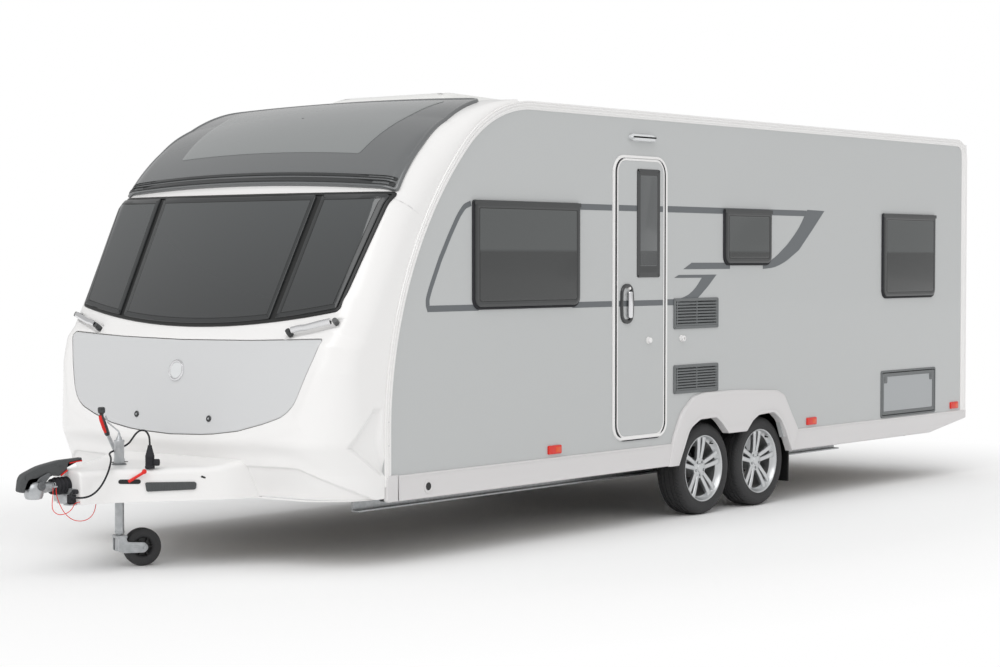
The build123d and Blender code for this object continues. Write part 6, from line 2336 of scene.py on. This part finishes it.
@dataclass
class JockeyWheel:
    """The jockey wheel: clamped sleeve with its crank, sliding leg, swivelling fork and wheel.

    Attributes:
        spot: Place of the leg in x and y.
        trail: How far the wheel's axle trails.
        yaw: Turn of the fork, in degrees.
        hub: Height of the wheel's axle.
    """

    spot: Corner = JOCKEY
    trail: float = 0.123
    yaw: float = -21.4
    hub: float = 0.1

    def build(self) -> None:
        """Build every piece of it."""
        centre = (*self.spot, 0.0)
        sleeve, crank, leg = shapes(3)
        wall = mm(
            (0, 560), (24.8, 560), (24.8, 376), (26.2, 376), (26.2, 655), (27.5, 657), (27.5, 666),
            (25.8, 668.5),
        )
        wall += mm((17, 670), (15, 678), (8.5, 690), (6, 704), (0, 704))
        sleeve.lathe(wall, centre, UP, 48)
        for near, far in mm((-58, -25.8), (25.8, 58)):
            sleeve.block((near, -3.388, 0.446), (far, -3.316, 0.5), 0.006)
        bend = rounded(mm((0, 690), (0, 712, 14), (-88, 757, 16), (-104, 790)), closed=False)
        crank.tube(np.stack([bend[:, 0], self.spot[1] + 0 * bend[:, 0], bend[:, 1]], 1), 0.0042, 14)
        leg.lathe(mm((0, 176), (24, 176), (24, 374), (0, 374)), centre, UP, 48)
        leg.lathe(mm((23.8, 178), (25.4, 179), (25.4, 190), (23.8, 191)), centre, UP, 48)
        sleeve.make("jockey_sleeve_seen", Look.ZINC, replaces=["jockey_sleeve"])
        crank.make("jockey_crank", Look.ZINC)
        leg.make("jockey_leg_seen", Look.ZINC, "jockey_leg", ["jockey_leg"])
        self.fork()
        self.wheel()

    def local(self, a: Array, b: Array, h: Array) -> Array:
        """Where (trail, z, sideways) lies before the fork is turned."""
        return spot_of(self.spot[0] + h, self.spot[1] + a, b)

    def fork(self) -> None:
        """Build the stem, both ribbed cheeks and the axle, then turn them."""
        fork = Shape()
        fork.block((-0.044, self.spot[1] - 0.028, 0.152), (0.044, self.spot[1] + 0.03, 0.17), 0.006)
        fork.lathe(mm((11.8, 160), (11.8, 240), (0, 240)), (*self.spot, 0.0), UP, 24)
        angle = np.linspace(math.radians(192), math.radians(348), 24)
        shell = [
            np.stack([self.spot[0] + r * np.cos(angle), self.spot[1] + r * np.sin(angle)], 1)
            for r in (0.0235, 0.0205)
        ]
        loop = np.concatenate([shell[0], shell[1][::-1]])
        fork.rim(loop, on_level, mm((0, 86), (0, 160)), back=True)
        cheek = mm(
            (-22, 86, 10), (-22, 170, 6), (18, 170, 10), (28, 134, 12), (122, 127, 20), (149, 100, 22),
            (122, 73, 20), (14, 76, 15),
        )
        for way in (1.0, -1.0):
            flank = lambda a, b, h: self.local(a, b, way * h)
            fork.rim(
                dense(rounded(cheek), 0.02), flank,
                mm((0, 37), (0, 44.8), (1.2, 46), (4.2, 46), (5.2, 43.6)), back=True,
            )
            for z in (0.09, 0.1005, 0.111):
                fork.rim(
                    box_loop((-0.005, z - 0.0022), (0.1, z + 0.0022), 0.002), flank,
                    mm((0, 42), (0.8, 45.6)),
                )
            bolt = mm((0, 43), (13.5, 43), (13.5, 46.5), (9.5, 46.7), (9.5, 52), (8, 53.2), (0, 53.2))
            fork.lathe(bolt, (self.spot[0], self.spot[1] + self.trail, self.hub), (way, 0, 0), 6)
        fork.turned((*self.spot, 0.0), math.radians(self.yaw))
        fork.make("jockey_fork_seen", Look.ZINC, "jockey_fork", ["jockey_fork"])

    def wheel(self) -> None:
        """Build the solid tyre and the ribbed hub, then turn them."""
        centre = (self.spot[0], self.spot[1] + self.trail, self.hub)
        half = mm((48, 15), (54, 24), (60, 29), (70, 31), (88, 31.5), (95, 28.5), (98.8, 22), (100, 12))
        tyre = Shape().lathe(
            [*[(r, -h) for r, h in half], *half[::-1], (0.048, -0.015)], centre, ACROSS, 64,
        )
        core = mm(
            (8.2, -33), (18, -33), (19.5, -18), (50, -9), (50, 9), (19.5, 18), (18, 33), (8.2, 33),
            (8.2, -33),
        )
        hub = Shape().lathe(core, centre, ACROSS, 40)
        for turn in np.linspace(0.0, math.tau, 6, endpoint=False):
            def spoke(a: Array, b: Array, h: Array) -> Array:
                """Lay (distance, off, sideways) along a line that leaves the axle."""
                y, z = a * math.cos(turn) - b * math.sin(turn), a * math.sin(turn) + b * math.cos(turn)
                return spot_of(centre[0] + h, centre[1] + y, centre[2] + z)
            hub.rim(
                box_loop((0.016, -0.003), (0.052, 0.003), 0.001), spoke, mm((0, -26), (0, 26)), back=True,
            )
        for shape, name, look, nodes in (
            (tyre, "jockey_tyre", Look.TYRE, ["jockey_wheel"]), (hub, "jockey_hub", Look.BLACK, []),
        ):
            shape.turned((*self.spot, 0.0), math.radians(self.yaw))
            shape.make(name, look, "jockey_wheel", nodes)


# ---- roof, rear and underside
@dataclass
class RoofFittings:
    """The low pod on the roof's front, the small mushroom vent and the sealing strip ahead of them.

    Attributes:
        pod: Plan of the pod: lower and upper corners in x and y.
        rise: Height of the pod above the roof for places along it.
        base: Height of the roof below it.
    """

    pod: tuple[Corner, Corner] = mm((-480, -1300), (480, -620))
    rise: tuple[Corner, ...] = mm(
        (-1300, 10), (-1255, 68), (-1180, 89.3), (-700, 75), (-660, 60), (-620, 10),
    )
    base: float = 2.504

    def on_roof(self, a: Array, b: Array, h: Array) -> Array:
        """Where (x, y, share of the pod's height) lies.

        Args:
            a: Place across.
            b: Place along.
            h: Share of the height.

        Returns:
            Points in space.
        """
        spots = np.array(self.rise)
        tall = np.interp(b, spots[:, 0], spots[:, 1])
        return spot_of(a, b, self.base + h * tall)

    def build(self) -> None:
        """Build the pod and the vent."""
        pod, glass = shapes(2)
        loop = dense(box_loop(*self.pod, 0.07), 0.03)
        pod.rim(
            loop, self.on_roof,
            [
                (0.0, -0.02), (0.0, 0.2), (0.006, 0.55), (0.018, 0.8), (0.036, 0.93), (0.06, 0.985),
                (0.09, 1.0),
            ],
            cap=False, rings=16,
        )
        pod.lathe(
            mm(
                (70, 2500), (70, 2520), (60, 2524), (60, 2530), (69.5, 2532), (69.5, 2538), (58, 2544.5),
                (30, 2547), (0, 2547.2),
            ),
            (0.48, 0.98, 0.0), UP, 48,
        )
        pane = dense(box_loop((-0.37, -1.16), (0.37, -0.74), 0.05), 0.03)
        glass.rim(pane, self.on_roof, [(0.0, 0.98), (0.0, 1.01), (0.003, 1.022)], cap=False, rings=10)
        pod.block((-1.086, -1.414, 2.499), (1.086, -1.386, 2.5075), 0.002)
        pod.make("roof_pod", Look.ROOF, replaces=["rooflight"])
        # The pod's pane takes the same light grey with the painted sky reflection.
        glass.make("roof_pod_pane", Look.SMOKE)


@dataclass
class RearEnd:
    """The moulded lower rear panel with its plate recess and the window over it."""

    def build(self) -> None:
        """Build the panel."""
        panel, plate = shapes(2)
        outer = dense(box_loop((-1.118, 0.4215), (1.118, 0.62), 0.04), 0.05)
        panel.rim(
            outer, on_rear,
            mm((0, -1), (0, 13), (3, 19), (9, 22.5), (18, 23.5), (30, 22.5), (34, 20.5), (38, 20.5)),
        )
        recess = dense(box_loop((-0.29, 0.462), (0.29, 0.592), 0.012), 0.05)
        panel.rim(recess, on_rear, mm((0, 18), (0, 22.5), (2, 24.2), (8, 24.2), (10, 22.2)), cap=False)
        plate.rim(
            box_loop((-0.26, 0.472), (0.26, 0.582), 0.006), on_rear, mm((0, 18), (0, 22.2), (1, 23)),
        )
        panel.make("rear_panel", Look.WHITE, replaces=["rear_bumper"])
        plate.make("plate_blank", Look.CLEAR)


@dataclass
class Floor:
    """The floor panel, which follows the front moulding's corners and is open over the wheels.

    Attributes:
        front: Right half of its front edge in x and y, from the flank to the middle.
        well: Inner face, front and back of a wheel opening.
        span: Height of its underside and its top.
    """

    front: tuple[Corner, ...] = mm((1060, -2415), (1060, -2600), (960, -2750), (780, -2850), (0, -2900))
    well: Corner = (0.8, 0.185, 1.553)
    span: Corner = (0.436, 0.476)

    def build(self) -> None:
        """Build the panel."""
        inner, start, end = self.well
        right = np.array(
            [(1.089, 3.964), (1.089, end), (inner, end), (inner, start), (1.089, start), *self.front],
        )
        loop = np.concatenate([right, right[-2::-1] * (-1.0, 1.0)])
        panel = Shape().rim(loop, on_level, [(0.0, self.span[0]), (0.0, self.span[1])], back=True)
        panel.make("floor_seen", Look.BOARD, replaces=["floor"])


@dataclass
class Carried:
    """CAD pieces that keep their shape and only take a finish.

    Attributes:
        looks: Each finish with the nodes that take it.
    """

    looks: tuple[tuple[Look, str], ...] = (
        (Look.WALL, "side_wall_left side_wall_right"),
        (Look.ROOF, "roof"),
        (Look.WHITE, "rear_wall"),
        (Look.BOARD, "front_bulkhead"),
        (Look.BLACK, "wheel_boxes"),
        (Look.ZINC, "chassis_frame drawbar_frame"),
        # The axles take the galvanised finish darkened as painted shade.
        (Look.DRUM, "axles"),
        # The steadies take the darker cast finish in place of zinc as painted shade, to sink into the
        # shadow under the floor.
        (Look.CAST, "steady_front_left steady_front_right steady_rear_left steady_rear_right"),
    )

    def build(self) -> None:
        """Put each finish on its nodes."""
        for look, names in self.looks:
            for name in names.split():
                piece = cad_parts[name]
                piece.data.materials.clear()
                piece.data.materials.append(look.material())


# ---- putting it together
def main() -> None:
    """Build everything in order."""
    logging.basicConfig(level=logging.INFO, format="%(message)s")
    studio = Studio()
    studio.camera()
    Cables().build()
    parts = [
        FrontMoulding(), LockerLid(), FrontWindows(), FrontHandles(), EdgeRails(), Stripes(),
        SideWindows(), EntranceDoor(), Hatches(), Vents(), Skirts(), Lamps(), RoadWheels(),
        DrawbarCover(), Coupling(), HandLevers(), JockeyWheel(), RoofFittings(), RearEnd(),
        Floor(), Carried(),
    ]
    for part in parts:
        LOG.info("building %s", type(part).__name__)
        part.build()
    studio.light()
    studio.ground()


if __name__ == "__main__":
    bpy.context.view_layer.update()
    main()
    LOG.info("writing sizes")
